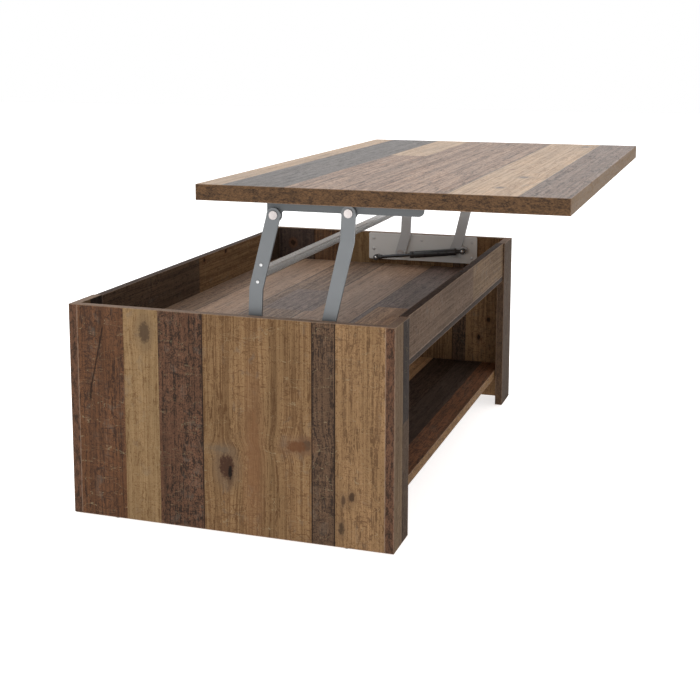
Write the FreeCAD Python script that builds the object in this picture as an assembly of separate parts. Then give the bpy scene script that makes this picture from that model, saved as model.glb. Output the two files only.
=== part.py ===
"""Lift top coffee table: a plank-look case with a storage tray and an open shelf bay.

The top rides on two swing-arm fittings, one inside each end panel, and is drawn raised.
Units are millimetres, +Z is up, the front faces -Y and the length runs along X.
The case is laid out with y = 0 on the front of the legs, then every shape is moved so that the
raised table stands centred on the origin with its feet at z = 0.
"""
import FreeCAD, Part
import math
import os

from FreeCAD import Vector

# ---- table top and its overhang --------------------------------------------------------------
TOP_LENGTH = 1100.0
TOP_DEPTH = 660.0
TOP_THICK = 29.0
TOP_END_OVERHANG = 18.0
TOP_SIDE_OVERHANG = 11.0
TOP_REST_GAP = 1.0
TOP_EDGE_ROUND = 1.0

# ---- case boards -------------------------------------------------------------------------------
CASE_HEIGHT = 411.0
END_PANEL_THICK = 16.0
LEG_WIDTH = 93.0
LEG_THICK = 17.0
RAIL_THICK = 16.0
RAIL_HEIGHT = 81.0
RAIL_SETBACK = 4.0
TRAY_FLOOR_THICK = 12.0
SHELF_THICK = 19.0
SHELF_TOP_HEIGHT = 89.0
SHELF_SETBACK = 20.0
GLIDE_THICK = 2.5
GLIDE_RADIUS = 6.0
GLIDE_TAPER = 1.0
GLIDE_PIN_RADIUS = 1.5
GLIDE_PIN_LENGTH = 10.0

# ---- swing arms: a parallelogram on each end -------------------------------------------------
LINK_LENGTH = 236.0
CLOSED_ANGLE = 5.5
RAISED_ANGLE = 102.2
REAR_PIVOT_Y = 283.0
PIVOT_SPREAD = 140.0
PIVOT_RISE = 9.0
ARM_WIDTH = 25.5
ARM_THICK = 5.0
ARM_END_EXTRA = 0.5
ARM_NEST_GAP = 1.5
ARM_TOP_GAP = 1.5
ARM_GAP = 5.0
REAR_KNEE_SHARE = 0.48
REAR_KNEE_RISE = 3.5
FRONT_KNEE = 31.0
FRONT_KNEE_SHARE = 0.7
ELBOW_STEP = 3.0

# ---- base plate on the end panel --------------------------------------------------------------
PLATE_THICK = 3.0
PLATE_TOP_DROP = 1.0
PLATE_REAR = 87.0
PLATE_FRONT = 58.0
PLATE_CORNER = 4.0
STOP_TAB_LENGTH = 34.0
STOP_TAB_THICK = 2.5
STOP_TAB_REACH = 9.0
STOP_TAB_GAP = 1.0
PLATE_SCREW_INSET = 13.0
PLATE_SCREW_DROP = 14.0
PLATE_SCREW_RISE = 14.0
PLATE_SCREW_OVER_STUD = 26.0
PLATE_SCREW_MIDDLE = 16.0

# ---- bracket under the top --------------------------------------------------------------------
BRACKET_THICK = 3.0
BRACKET_SHOULDER = 1.4
BRACKET_FLANGE = 34.0
BRACKET_FRONT = 134.0
BRACKET_CORNER = 10.0
BRACKET_SCREW_COUNT = 4
BRACKET_SCREW_INSET = 22.0
LUG_RADIUS = 14.0
LUG_BLEND = 5.0

# ---- pivot rivets -----------------------------------------------------------------------------
PIN_RADIUS = 5.0
PIN_HEAD_RADIUS = 8.0
PIN_HEAD_THICK = 2.5
PIN_TAIL_RADIUS = 7.0
PIN_TAIL_THICK = 2.0
WASHER_RADIUS = 10.5
WASHER_THICK = 1.0
RUNNING_CLEARANCE = 0.05
PART_GAP = 0.1
BORE_OVERSHOOT = 1.0
EDGE_REACH = 0.6

# ---- tie bar between the rear arms --------------------------------------------------------------
TIE_AT = 0.535
TIE_DROP_SHARE = 0.8
TIE_HEIGHT = 16.0
TIE_DEPTH = 12.0
TIE_WALL = 2.0
TIE_PLATE_THICK = 3.0
TIE_PLATE_LENGTH = 44.0
TIE_PLATE_WIDTH = 18.0
TIE_PLATE_CORNER = 4.0
TIE_SCREW_SPREAD = 32.0
TIE_SCREW_RADIUS = 2.0
TIE_SCREW_HEAD_RADIUS = 3.2
TIE_SCREW_HEAD_THICK = 1.8

# ---- gas spring ---------------------------------------------------------------------------------
GAS_CYLINDER_RADIUS = 9.0
GAS_CYLINDER_LENGTH = 122.0
GAS_WALL = 1.5
GAS_ROD_RADIUS = 4.0
GAS_SOCKET_LENGTH = 16.0
GAS_SOCKET_RADIUS = 7.0
GAS_SOCKET_NECK_RADIUS = 5.5
GAS_BALL_RADIUS = 4.5
GAS_BALL_PROUD = 2.0
GAS_NECK_RADIUS = 3.0
GAS_SIDE_GAP = 1.5
GAS_PISTON_LENGTH = 8.0
LOBE_BEHIND = -26.0
LOBE_RISE = 5.0
LOBE_RADIUS = 10.0
PLATE_STUD_REAR = 61.0
PLATE_STUD_RISE = 7.5
PLATE_STUD_GAP = 1.2
GAS_END_WALL = 4.0
GAS_GUIDE_LENGTH = 8.0
GAS_PISTON_GAP = 2.0
STUD_COLLAR_RADIUS = 6.0
STUD_COLLAR_THICK = 2.5
GAS_STUD_GAP = 0.2

# ---- screws, dowels and cam fittings --------------------------------------------------------------
SCREW_RADIUS = 2.0
SCREW_LENGTH = 13.0
SCREW_HEAD_RADIUS = 4.0
SCREW_HEAD_THICK = 1.6
HOLE_CLEARANCE = 0.2
RAIL_DOWEL_RADIUS = 3.0
RAIL_DOWEL_LENGTH = 30.0
RAIL_DOWEL_INSET = 18.0
LEG_DOWEL_RADIUS = 4.0
LEG_DOWEL_LENGTH = 28.0
LEG_DOWEL_IN_LEG = 11.0
LEG_DOWEL_INSET = 60.0
FLOOR_DOWEL_RADIUS = 3.0
FLOOR_DOWEL_LENGTH = 28.0
FLOOR_DOWEL_IN_PANEL = 10.0
CAM_RADIUS = 7.5
CAM_DEPTH = 13.0
CAM_INSET = 24.0
CAM_BOLT_RADIUS = 3.0
CAM_BOLT_IN_PANEL = 10.0
FLOOR_SCREW_LENGTH = 36.0
FLOOR_SCREW_SPREAD = 0.4
END_FIXING_SHARE = 0.12

# ---- places that follow from the sizes above ---------------------------------------------------
CASE_LENGTH = TOP_LENGTH - 2.0 * TOP_END_OVERHANG
CASE_DEPTH = TOP_DEPTH - 2.0 * TOP_SIDE_OVERHANG
HALF = CASE_LENGTH / 2.0
INNER_X = -HALF + END_PANEL_THICK
PLATE_FACE_X = INNER_X + PLATE_THICK
ARM_X = PLATE_FACE_X + ARM_GAP
ARM_FACE_X = ARM_X + ARM_THICK
BRACKET_X = ARM_FACE_X + WASHER_THICK
GAS_X = ARM_FACE_X + PIN_HEAD_THICK + GAS_SIDE_GAP + GAS_CYLINDER_RADIUS
STUD_END_X = GAS_X - GAS_SOCKET_RADIUS - GAS_STUD_GAP
RAIL_BOTTOM = CASE_HEIGHT - RAIL_HEIGHT
TRAY_BOTTOM = RAIL_BOTTOM - TRAY_FLOOR_THICK
LINK_RAISED = math.radians(RAISED_ANGLE)
LINK_CLOSED = math.radians(CLOSED_ANGLE)
TRAVEL = LINK_LENGTH * (math.cos(LINK_CLOSED) - math.cos(LINK_RAISED))
LIFT = LINK_LENGTH * (math.sin(LINK_RAISED) - math.sin(LINK_CLOSED))
TOP_FRONT = -TOP_SIDE_OVERHANG - TRAVEL
TOP_UNDER = CASE_HEIGHT + TOP_REST_GAP + LIFT
Y_MIDDLE = (CASE_DEPTH + TOP_FRONT) / 2.0

ARM_END_RADIUS = ARM_WIDTH / 2.0 + ARM_END_EXTRA
# Closed, the arms lie one above the other. Along the links, the front pivots are this far ahead,
# so the rear arm dips under the front arm's high pivot and both bend at almost the same place.
PIN_SHIFT = PIVOT_SPREAD * math.cos(LINK_CLOSED) - PIVOT_RISE * math.sin(LINK_CLOSED)
REAR_ELBOW = LINK_LENGTH - PIN_SHIFT
REAR_KNEE = REAR_ELBOW * REAR_KNEE_SHARE
FRONT_ELBOW = PIN_SHIFT + REAR_KNEE + ELBOW_STEP
# The front arm's elbow is then the highest point of the arms and stays just under the top.
ELBOW_RISE = (REAR_KNEE_RISE + ARM_NEST_GAP + 1.5 * ARM_WIDTH) * math.cos(LINK_CLOSED)
PIVOT_HEIGHT = (CASE_HEIGHT + TOP_REST_GAP - ARM_TOP_GAP - ELBOW_RISE
                - (REAR_KNEE + ELBOW_STEP) * math.sin(LINK_CLOSED))
REAR_LOW = (REAR_PIVOT_Y, PIVOT_HEIGHT)
FRONT_LOW = (REAR_LOW[0] - PIVOT_SPREAD, REAR_LOW[1] + PIVOT_RISE)


def along_link(start, distance, offset, angle=LINK_RAISED):
    """Return the point a distance along a link from its low pivot, offset to the front side."""
    u_y, u_z = math.cos(angle), math.sin(angle)
    return (start[0] + distance * u_y - offset * u_z, start[1] + distance * u_z + offset * u_y)


REAR_HIGH = along_link(REAR_LOW, LINK_LENGTH, 0.0)
FRONT_HIGH = along_link(FRONT_LOW, LINK_LENGTH, 0.0)
# Distance between the two links when the arms lie side by side in the closed tray.
NEST = PIVOT_SPREAD * math.sin(LINK_CLOSED) + PIVOT_RISE * math.cos(LINK_CLOSED)
REAR_ELBOW_DIP = NEST - ARM_END_RADIUS - ARM_NEST_GAP - ARM_WIDTH / 2.0
FRONT_BULGE = REAR_KNEE_RISE + ARM_WIDTH + ARM_NEST_GAP - NEST
PLATE_TOP = CASE_HEIGHT - PLATE_TOP_DROP
REAR_BENDS = [(0.0, 0.0), (REAR_KNEE, REAR_KNEE_RISE), (REAR_ELBOW, REAR_ELBOW_DIP), (LINK_LENGTH, 0.0)]


def rear_bend_at(along):
    """Return how far the rear arm's centre line stands off its link at a distance along it."""
    for (a0, b0), (a1, b1) in zip(REAR_BENDS, REAR_BENDS[1:]):
        if along <= a1:
            return b0 + (b1 - b0) * (along - a0) / (a1 - a0)
    return 0.0


# The spring stud stays below the closed rear arm, and the plate reaches down past the stud.
PLATE_STUD = (REAR_LOW[0] + PLATE_STUD_REAR,
              REAR_LOW[1] + PLATE_STUD_REAR * math.sin(LINK_CLOSED) + rear_bend_at(PLATE_STUD_REAR)
              - ARM_WIDTH / 2.0 - STUD_COLLAR_RADIUS - PLATE_STUD_GAP)
PLATE_BOTTOM = PLATE_STUD[1] - PLATE_STUD_RISE
LOBE_STUD = (FRONT_LOW[0] + LOBE_BEHIND, FRONT_LOW[1] + LOBE_RISE)
TIE_CENTRE = along_link(REAR_LOW, LINK_LENGTH * TIE_AT, REAR_ELBOW_DIP * TIE_DROP_SHARE)


# ---- shape helpers ----------------------------------------------------------------------------
def box(x0, x1, y0, y1, z0, z1):
    """Return a box between two corners."""
    return Part.makeBox(x1 - x0, y1 - y0, z1 - z0, Vector(x0, y0, z0))


def rod(axis, centre, radius, length):
    """Return a cylinder that starts at a point and runs along an axis."""
    return Part.makeCylinder(radius, length, Vector(*centre), Vector(*axis))


def slab_yz(points, x0, thick):
    """Return a flat plate with the given outline in the YZ plane, from x0 towards +X."""
    loop = [Vector(x0, y, z) for y, z in points]
    return Part.Face(Part.makePolygon(loop + loop[:1])).extrude(Vector(thick, 0, 0))


def fuse(shapes):
    """Join touching shapes into one clean solid."""
    joined = shapes[0]
    for shape in shapes[1:]:
        joined = joined.fuse(shape)
    return joined.removeSplitter()


def cut(shape, tools):
    """Take every tool away from a shape."""
    for tool in tools:
        shape = shape.cut(tool)
    return shape


def round_x_edges(shape, places, radius):
    """Round the edges that run along X and pass through the given (y, z) places."""
    chosen = []
    for edge in shape.Edges:
        first, last = edge.Vertexes[0].Point, edge.Vertexes[-1].Point
        runs_along_x = abs(first.y - last.y) + abs(first.z - last.z) < 1e-6 and first.x != last.x
        near = any(math.hypot(first.y - y, first.z - z) < EDGE_REACH for y, z in places)
        if runs_along_x and near:
            chosen.append(edge)
    return shape.makeFillet(radius, chosen) if chosen else shape


def strip(points, width):
    """Return the outline of a bent strip of constant width around a centre line, mitred."""
    sides = []
    for side in (1.0, -1.0):
        rim = []
        for i, (y, z) in enumerate(points):
            ways = []
            for j in (i - 1, i):
                if 0 <= j < len(points) - 1:
                    dy, dz = points[j + 1][0] - points[j][0], points[j + 1][1] - points[j][1]
                    size = math.hypot(dy, dz)
                    ways.append((-dz / size, dy / size))
            n_y, n_z = sum(w[0] for w in ways), sum(w[1] for w in ways)
            n_y, n_z = n_y / math.hypot(n_y, n_z), n_z / math.hypot(n_y, n_z)
            reach = width / 2.0 / (n_y * ways[0][0] + n_z * ways[0][1])
            rim.append((y + side * reach * n_y, z + side * reach * n_z))
        sides.append(rim)
    return sides[0] + sides[1][::-1]


def at(place, x):
    """Return the 3-D point of a (y, z) place at a given x."""
    return (x, place[0], place[1])


def bore(place, start, radius, depth):
    """Return a cutter along X at a (y, z) place that runs a little past both faces."""
    return rod((1, 0, 0), at(place, start - BORE_OVERSHOOT), radius, depth + 2.0 * BORE_OVERSHOOT)


def mirrored(shape):
    """Return the right-hand copy of a left-hand shape."""
    return shape.mirror(Vector(0, 0, 0), Vector(1, 0, 0))


def save(name, shape):
    """Move a shape from the layout to its final place and write its STEP file."""
    placed = shape.copy()
    placed.translate(Vector(0, -Y_MIDDLE, 0))
    placed.exportStep("parts/" + name + ".step")


def save_pair(name, shape):
    """Write the left shape and its mirror image for the right end."""
    save(name + "_left", shape)
    save(name + "_right", mirrored(shape))


# ---- fastener layouts ---------------------------------------------------------------------------
PLATE_REAR_Y = REAR_LOW[0] + PLATE_REAR
PLATE_FRONT_Y = FRONT_LOW[0] - PLATE_FRONT
PLATE_SCREWS = [
    (PLATE_REAR_Y - PLATE_SCREW_INSET, PLATE_TOP - PLATE_SCREW_DROP),
    (PLATE_REAR_Y - PLATE_SCREW_INSET, PLATE_BOTTOM + PLATE_SCREW_OVER_STUD),
    ((REAR_LOW[0] + FRONT_LOW[0]) / 2.0 + PLATE_SCREW_MIDDLE, PLATE_TOP - PLATE_SCREW_DROP),
    (PLATE_FRONT_Y + PLATE_SCREW_INSET, PLATE_TOP - PLATE_SCREW_DROP),
    (PLATE_FRONT_Y + PLATE_SCREW_INSET, PLATE_BOTTOM + PLATE_SCREW_RISE),
]
BRACKET_REAR_Y = REAR_HIGH[0] + LUG_RADIUS
BRACKET_FRONT_Y = FRONT_HIGH[0] - BRACKET_FRONT
BRACKET_SCREW_X = BRACKET_X + BRACKET_THICK + (BRACKET_FLANGE - BRACKET_THICK) / 2.0
BRACKET_SCREW_STEP = ((BRACKET_REAR_Y - BRACKET_FRONT_Y - 2.0 * BRACKET_SCREW_INSET)
                      / (BRACKET_SCREW_COUNT - 1))
BRACKET_SCREW_Y = [
    BRACKET_FRONT_Y + BRACKET_SCREW_INSET + i * BRACKET_SCREW_STEP for i in range(BRACKET_SCREW_COUNT)
]
LEG_CORNERS = {
    "front_left": (-HALF, 0.0, 1.0),
    "front_right": (HALF - LEG_WIDTH, 0.0, 1.0),
    "back_left": (-HALF, CASE_DEPTH - LEG_THICK, -1.0),
    "back_right": (HALF - LEG_WIDTH, CASE_DEPTH - LEG_THICK, -1.0),
}
LEG_DOWEL_HEIGHTS = (LEG_DOWEL_INSET, CASE_HEIGHT / 2.0, CASE_HEIGHT - LEG_DOWEL_INSET)
RAIL_DOWEL_HEIGHTS = (RAIL_BOTTOM + RAIL_DOWEL_INSET, CASE_HEIGHT - RAIL_DOWEL_INSET)
RAIL_DOWEL_Y = (RAIL_SETBACK + LEG_THICK) / 2.0
PANEL_FRONT, PANEL_BACK = LEG_THICK, CASE_DEPTH - LEG_THICK
END_FIXINGS = (END_FIXING_SHARE, 0.5, 1.0 - END_FIXING_SHARE)
INNER_DEPTHS = [PANEL_FRONT + (PANEL_BACK - PANEL_FRONT) * share for share in END_FIXINGS]
SHELF_FRONT, SHELF_BACK = SHELF_SETBACK, CASE_DEPTH - SHELF_SETBACK
SHELF_CAM_Y = [SHELF_FRONT + (SHELF_BACK - SHELF_FRONT) * END_FIXINGS[i] for i in (0, 2)]
SHELF_MID = SHELF_TOP_HEIGHT - SHELF_THICK / 2.0
TRAY_MID = TRAY_BOTTOM + TRAY_FLOOR_THICK / 2.0
RAIL_MID_Y = RAIL_SETBACK + RAIL_THICK / 2.0
FLOOR_SCREW_X = [side * FLOOR_SCREW_SPREAD * (CASE_LENGTH - 2.0 * LEG_WIDTH) for side in (-1, 0, 1)]


def leg_dowels():
    """Return the dowels that pin each leg board to the edge of its end panel."""
    pins = []
    for x0, y0, inward in LEG_CORNERS.values():
        x = x0 + END_PANEL_THICK / 2.0 if x0 < 0 else x0 + LEG_WIDTH - END_PANEL_THICK / 2.0
        joint_y = y0 + (LEG_THICK if inward > 0 else 0.0)
        for z in LEG_DOWEL_HEIGHTS:
            start = joint_y - inward * LEG_DOWEL_IN_LEG
            pins.append(rod((0, inward, 0), (x, start, z), LEG_DOWEL_RADIUS, LEG_DOWEL_LENGTH))
    return pins


def rail_dowels():
    """Return the dowels between the rail ends and the legs."""
    pins = []
    for side in (-1.0, 1.0):
        joint_x = side * (HALF - LEG_WIDTH)
        start = joint_x - RAIL_DOWEL_LENGTH / 2.0
        for y in (RAIL_DOWEL_Y, CASE_DEPTH - RAIL_DOWEL_Y):
            for z in RAIL_DOWEL_HEIGHTS:
                pins.append(rod((1, 0, 0), (start, y, z), RAIL_DOWEL_RADIUS, RAIL_DOWEL_LENGTH))
    return pins


def floor_dowels():
    """Return the dowels between the tray floor and the end panels."""
    pins = []
    for side in (-1.0, 1.0):
        start = side * (HALF - END_PANEL_THICK + FLOOR_DOWEL_IN_PANEL)
        for y in INNER_DEPTHS:
            place = (start, y, TRAY_MID)
            pins.append(rod((-side, 0, 0), place, FLOOR_DOWEL_RADIUS, FLOOR_DOWEL_LENGTH))
    return pins


def floor_screws():
    """Return the screws driven up through the tray floor into the two rails."""
    screws = []
    for x in FLOOR_SCREW_X:
        for y in (RAIL_MID_Y, CASE_DEPTH - RAIL_MID_Y):
            shank = rod((0, 0, 1), (x, y, TRAY_BOTTOM), SCREW_RADIUS, FLOOR_SCREW_LENGTH)
            head = rod((0, 0, 1), (x, y, TRAY_BOTTOM), SCREW_HEAD_RADIUS, SCREW_HEAD_THICK)
            screws.append(shank.fuse(head))
    return screws


def shelf_cams():
    """Return the cam housings under the shelf with their bolts into the end panels."""
    cams = []
    for side in (-1.0, 1.0):
        face_x = side * (HALF - END_PANEL_THICK)
        cam_x = face_x - side * CAM_INSET
        for y in SHELF_CAM_Y:
            bottom = SHELF_TOP_HEIGHT - SHELF_THICK
            cam = rod((0, 0, 1), (cam_x, y, bottom), CAM_RADIUS, CAM_DEPTH)
            reach = CAM_INSET + CAM_BOLT_IN_PANEL
            bolt = rod((side, 0, 0), (cam_x, y, SHELF_MID), CAM_BOLT_RADIUS, reach)
            cams.append(cam.fuse(bolt))
    return cams


# ---- case ---------------------------------------------------------------------------------------
def build_case():
    """Write the case boards, their fittings and the feet."""
    plate_holes = [
        rod((-1, 0, 0), at(place, INNER_X), SCREW_RADIUS + HOLE_CLEARANCE, SCREW_LENGTH)
        for place in PLATE_SCREWS
    ]
    panel = box(-HALF, INNER_X, PANEL_FRONT, PANEL_BACK, GLIDE_THICK, CASE_HEIGHT)
    panel = cut(panel, plate_holes + leg_dowels() + floor_dowels() + shelf_cams())

    glide_places = []
    for x0, y0, inward in LEG_CORNERS.values():
        glide_places.append((x0 + LEG_WIDTH / 2.0, y0 + LEG_THICK / 2.0))
    for side in (-1.0, 1.0):
        for y in (INNER_DEPTHS[0], INNER_DEPTHS[2]):
            glide_places.append((side * (HALF - END_PANEL_THICK / 2.0), y))
    glides, glide_pins = [], []
    for x, y in glide_places:
        pin = rod((0, 0, 1), (x, y, 0), GLIDE_PIN_RADIUS, GLIDE_THICK + GLIDE_PIN_LENGTH)
        foot = Part.makeCone(GLIDE_RADIUS - GLIDE_TAPER, GLIDE_RADIUS, GLIDE_THICK, Vector(x, y, 0))
        glides.append(foot.fuse(pin))
        glide_pins.append(pin)
    save_pair("end_panel", cut(panel, glide_pins))
    save("floor_glides", Part.makeCompound(glides))

    for name, (x0, y0, inward) in LEG_CORNERS.items():
        leg = box(x0, x0 + LEG_WIDTH, y0, y0 + LEG_THICK, GLIDE_THICK, CASE_HEIGHT)
        save("leg_" + name, cut(leg, leg_dowels() + rail_dowels() + glide_pins))

    rail_x = HALF - LEG_WIDTH
    for name, y0 in (("front", RAIL_SETBACK), ("back", CASE_DEPTH - RAIL_SETBACK - RAIL_THICK)):
        rail = box(-rail_x, rail_x, y0, y0 + RAIL_THICK, RAIL_BOTTOM, CASE_HEIGHT)
        save("rail_" + name, cut(rail, rail_dowels() + floor_screws()))

    inner = HALF - END_PANEL_THICK
    floor = box(-inner, inner, PANEL_FRONT, PANEL_BACK, TRAY_BOTTOM, RAIL_BOTTOM).fuse(
        box(-rail_x, rail_x, RAIL_SETBACK, CASE_DEPTH - RAIL_SETBACK, TRAY_BOTTOM, RAIL_BOTTOM))
    save("tray_floor", cut(floor.removeSplitter(), floor_dowels() + floor_screws()))

    bottom = SHELF_TOP_HEIGHT - SHELF_THICK
    shelf = box(-inner, inner, SHELF_FRONT, SHELF_BACK, bottom, SHELF_TOP_HEIGHT)
    save("lower_shelf", cut(shelf, shelf_cams()))

    save("leg_dowels", Part.makeCompound(leg_dowels()))
    save("rail_dowels", Part.makeCompound(rail_dowels()))
    save("tray_floor_dowels", Part.makeCompound(floor_dowels()))
    save("tray_floor_screws", Part.makeCompound(floor_screws()))
    save("shelf_cams", Part.makeCompound(shelf_cams()))


# ---- table top ------------------------------------------------------------------------------------
def build_top():
    """Write the top board, raised over the front of the case."""
    board = box(-TOP_LENGTH / 2.0, TOP_LENGTH / 2.0, TOP_FRONT, TOP_FRONT + TOP_DEPTH,
                TOP_UNDER, TOP_UNDER + TOP_THICK)
    board = board.makeFillet(TOP_EDGE_ROUND, board.Edges)
    holes = []
    for side in (-1.0, 1.0):
        for y in BRACKET_SCREW_Y:
            place = (-side * BRACKET_SCREW_X, y, TOP_UNDER)
            holes.append(rod((0, 0, 1), place, SCREW_RADIUS + HOLE_CLEARANCE, SCREW_LENGTH))
    save("table_top", cut(board, holes))


# ---- fittings on the end panel -------------------------------------------------------------------
def build_base_plate():
    """Write the screwed plate that carries both low pivots, the stop tab and a spring stud."""
    plate = slab_yz([(PLATE_FRONT_Y, PLATE_BOTTOM), (PLATE_REAR_Y, PLATE_BOTTOM),
                     (PLATE_REAR_Y, PLATE_TOP), (PLATE_FRONT_Y, PLATE_TOP)], INNER_X, PLATE_THICK)
    corners = [(y, z) for y in (PLATE_FRONT_Y, PLATE_REAR_Y) for z in (PLATE_BOTTOM, PLATE_TOP)]
    plate = round_x_edges(plate, corners, PLATE_CORNER)
    tab_z = FRONT_LOW[1] - ARM_END_RADIUS - STOP_TAB_GAP - STOP_TAB_THICK
    tab_y = FRONT_LOW[0] - STOP_TAB_LENGTH / 2.0
    tab = box(PLATE_FACE_X, PLATE_FACE_X + STOP_TAB_REACH, tab_y, tab_y + STOP_TAB_LENGTH,
              tab_z, tab_z + STOP_TAB_THICK)
    plate = fuse([plate, tab])
    holes = [bore(p, INNER_X, SCREW_RADIUS + HOLE_CLEARANCE, PLATE_THICK)
             for p in PLATE_SCREWS]
    holes += [bore(p, INNER_X, PIN_RADIUS, PLATE_THICK)
              for p in (REAR_LOW, FRONT_LOW)]
    holes.append(bore(PLATE_STUD, INNER_X, GAS_NECK_RADIUS, PLATE_THICK))
    save_pair("base_plate", cut(plate, holes))

    screws = []
    for place in PLATE_SCREWS:
        shank = rod((-1, 0, 0), at(place, PLATE_FACE_X), SCREW_RADIUS, SCREW_LENGTH)
        head = rod((1, 0, 0), at(place, PLATE_FACE_X), SCREW_HEAD_RADIUS, SCREW_HEAD_THICK)
        screws.append(shank.fuse(head))
    save_pair("base_plate_screws", Part.makeCompound(screws))

    pins = []
    for place in (REAR_LOW, FRONT_LOW):
        reach = ARM_FACE_X + PART_GAP - INNER_X
        shank = rod((1, 0, 0), at(place, INNER_X), PIN_RADIUS, reach)
        spacer = rod((1, 0, 0), at(place, PLATE_FACE_X), WASHER_RADIUS, ARM_GAP - PART_GAP)
        head = rod((1, 0, 0), at(place, ARM_FACE_X + PART_GAP), PIN_HEAD_RADIUS, PIN_HEAD_THICK)
        pins.append(fuse([shank, spacer, head]))
    save_pair("low_pivot_pins", Part.makeCompound(pins))

    stud = fuse([
        rod((1, 0, 0), at(PLATE_STUD, INNER_X), GAS_NECK_RADIUS, STUD_END_X - INNER_X),
        rod((1, 0, 0), at(PLATE_STUD, PLATE_FACE_X), STUD_COLLAR_RADIUS, STUD_COLLAR_THICK),
    ])
    save_pair("plate_stud", stud)


# ---- swing arms -----------------------------------------------------------------------------------
def build_arms():
    """Write the rear and front arms, bent so that they nest side by side when closed."""
    centre_line = [along_link(REAR_LOW, along, bend) for along, bend in REAR_BENDS]
    rear = [slab_yz(strip(centre_line, ARM_WIDTH), ARM_X, ARM_THICK)]
    rear += [rod((1, 0, 0), at(p, ARM_X), ARM_END_RADIUS, ARM_THICK) for p in (REAR_LOW, REAR_HIGH)]
    bores = [bore(p, ARM_X, PIN_RADIUS + RUNNING_CLEARANCE, ARM_THICK)
             for p in (REAR_LOW, REAR_HIGH)]
    bores += [bore(p, ARM_X, TIE_SCREW_RADIUS, ARM_THICK)
              for p in tie_screw_places()]
    save_pair("rear_arm", cut(fuse(rear), bores))

    centre_line = [
        FRONT_LOW,
        along_link(FRONT_LOW, FRONT_KNEE, FRONT_BULGE * FRONT_KNEE_SHARE),
        along_link(FRONT_LOW, FRONT_ELBOW, FRONT_BULGE),
        FRONT_HIGH,
    ]
    front = [slab_yz(strip(centre_line, ARM_WIDTH), ARM_X, ARM_THICK)]
    front += [rod((1, 0, 0), at(p, ARM_X), ARM_END_RADIUS, ARM_THICK) for p in (FRONT_LOW, FRONT_HIGH)]
    front.append(rod((1, 0, 0), at(LOBE_STUD, ARM_X), LOBE_RADIUS, ARM_THICK))
    front.append(slab_yz(strip([FRONT_LOW, LOBE_STUD], 2.0 * LOBE_RADIUS), ARM_X, ARM_THICK))
    bores = [bore(p, ARM_X, PIN_RADIUS + RUNNING_CLEARANCE, ARM_THICK)
             for p in (FRONT_LOW, FRONT_HIGH)]
    bores.append(bore(LOBE_STUD, ARM_X, GAS_NECK_RADIUS, ARM_THICK))
    save_pair("front_arm", cut(fuse(front), bores))

    stud = fuse([
        rod((1, 0, 0), at(LOBE_STUD, ARM_X), GAS_NECK_RADIUS, STUD_END_X - ARM_X),
        rod((1, 0, 0), at(LOBE_STUD, ARM_FACE_X), STUD_COLLAR_RADIUS, STUD_COLLAR_THICK),
    ])
    save_pair("arm_stud", stud)


def tie_screw_places():
    """Return the (y, z) places of the two tie bar screws on the raised rear arm."""
    return [along_link(TIE_CENTRE, way * TIE_SCREW_SPREAD / 2.0, 0.0) for way in (-1.0, 1.0)]


def turned(points):
    """Turn local (along, across) points to the raised link direction about the tie centre."""
    return [along_link(TIE_CENTRE, along, across) for along, across in points]


def build_tie_bar():
    """Write the channel that joins the rear arms, with its end plates, and its screws."""
    half_h, half_d = TIE_HEIGHT / 2.0, TIE_DEPTH / 2.0
    profile = turned([
        (-half_h, -half_d), (half_h, -half_d), (half_h, half_d), (half_h - TIE_WALL, half_d),
        (half_h - TIE_WALL, -half_d + TIE_WALL), (-half_h + TIE_WALL, -half_d + TIE_WALL),
        (-half_h + TIE_WALL, half_d), (-half_h, half_d),
    ])
    bar = slab_yz(profile, ARM_FACE_X, -2.0 * ARM_FACE_X)
    half_l, half_w = TIE_PLATE_LENGTH / 2.0, TIE_PLATE_WIDTH / 2.0
    outline = turned([(-half_l, -half_w), (half_l, -half_w), (half_l, half_w), (-half_l, half_w)])
    plate = round_x_edges(slab_yz(outline, ARM_FACE_X, TIE_PLATE_THICK), outline,
                          TIE_PLATE_CORNER)
    bar = fuse([bar, plate, mirrored(plate)])
    holes, screws = [], []
    for place in tie_screw_places():
        hole = bore(place, ARM_FACE_X, TIE_SCREW_RADIUS, TIE_PLATE_THICK)
        shank = rod((1, 0, 0), at(place, ARM_X), TIE_SCREW_RADIUS, ARM_THICK + TIE_PLATE_THICK)
        head = rod((-1, 0, 0), at(place, ARM_X), TIE_SCREW_HEAD_RADIUS, TIE_SCREW_HEAD_THICK)
        holes += [hole, mirrored(hole)]
        screws.append(shank.fuse(head))
    save("tie_bar", cut(bar, holes))
    save_pair("tie_bar_screws", Part.makeCompound(screws))


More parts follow.
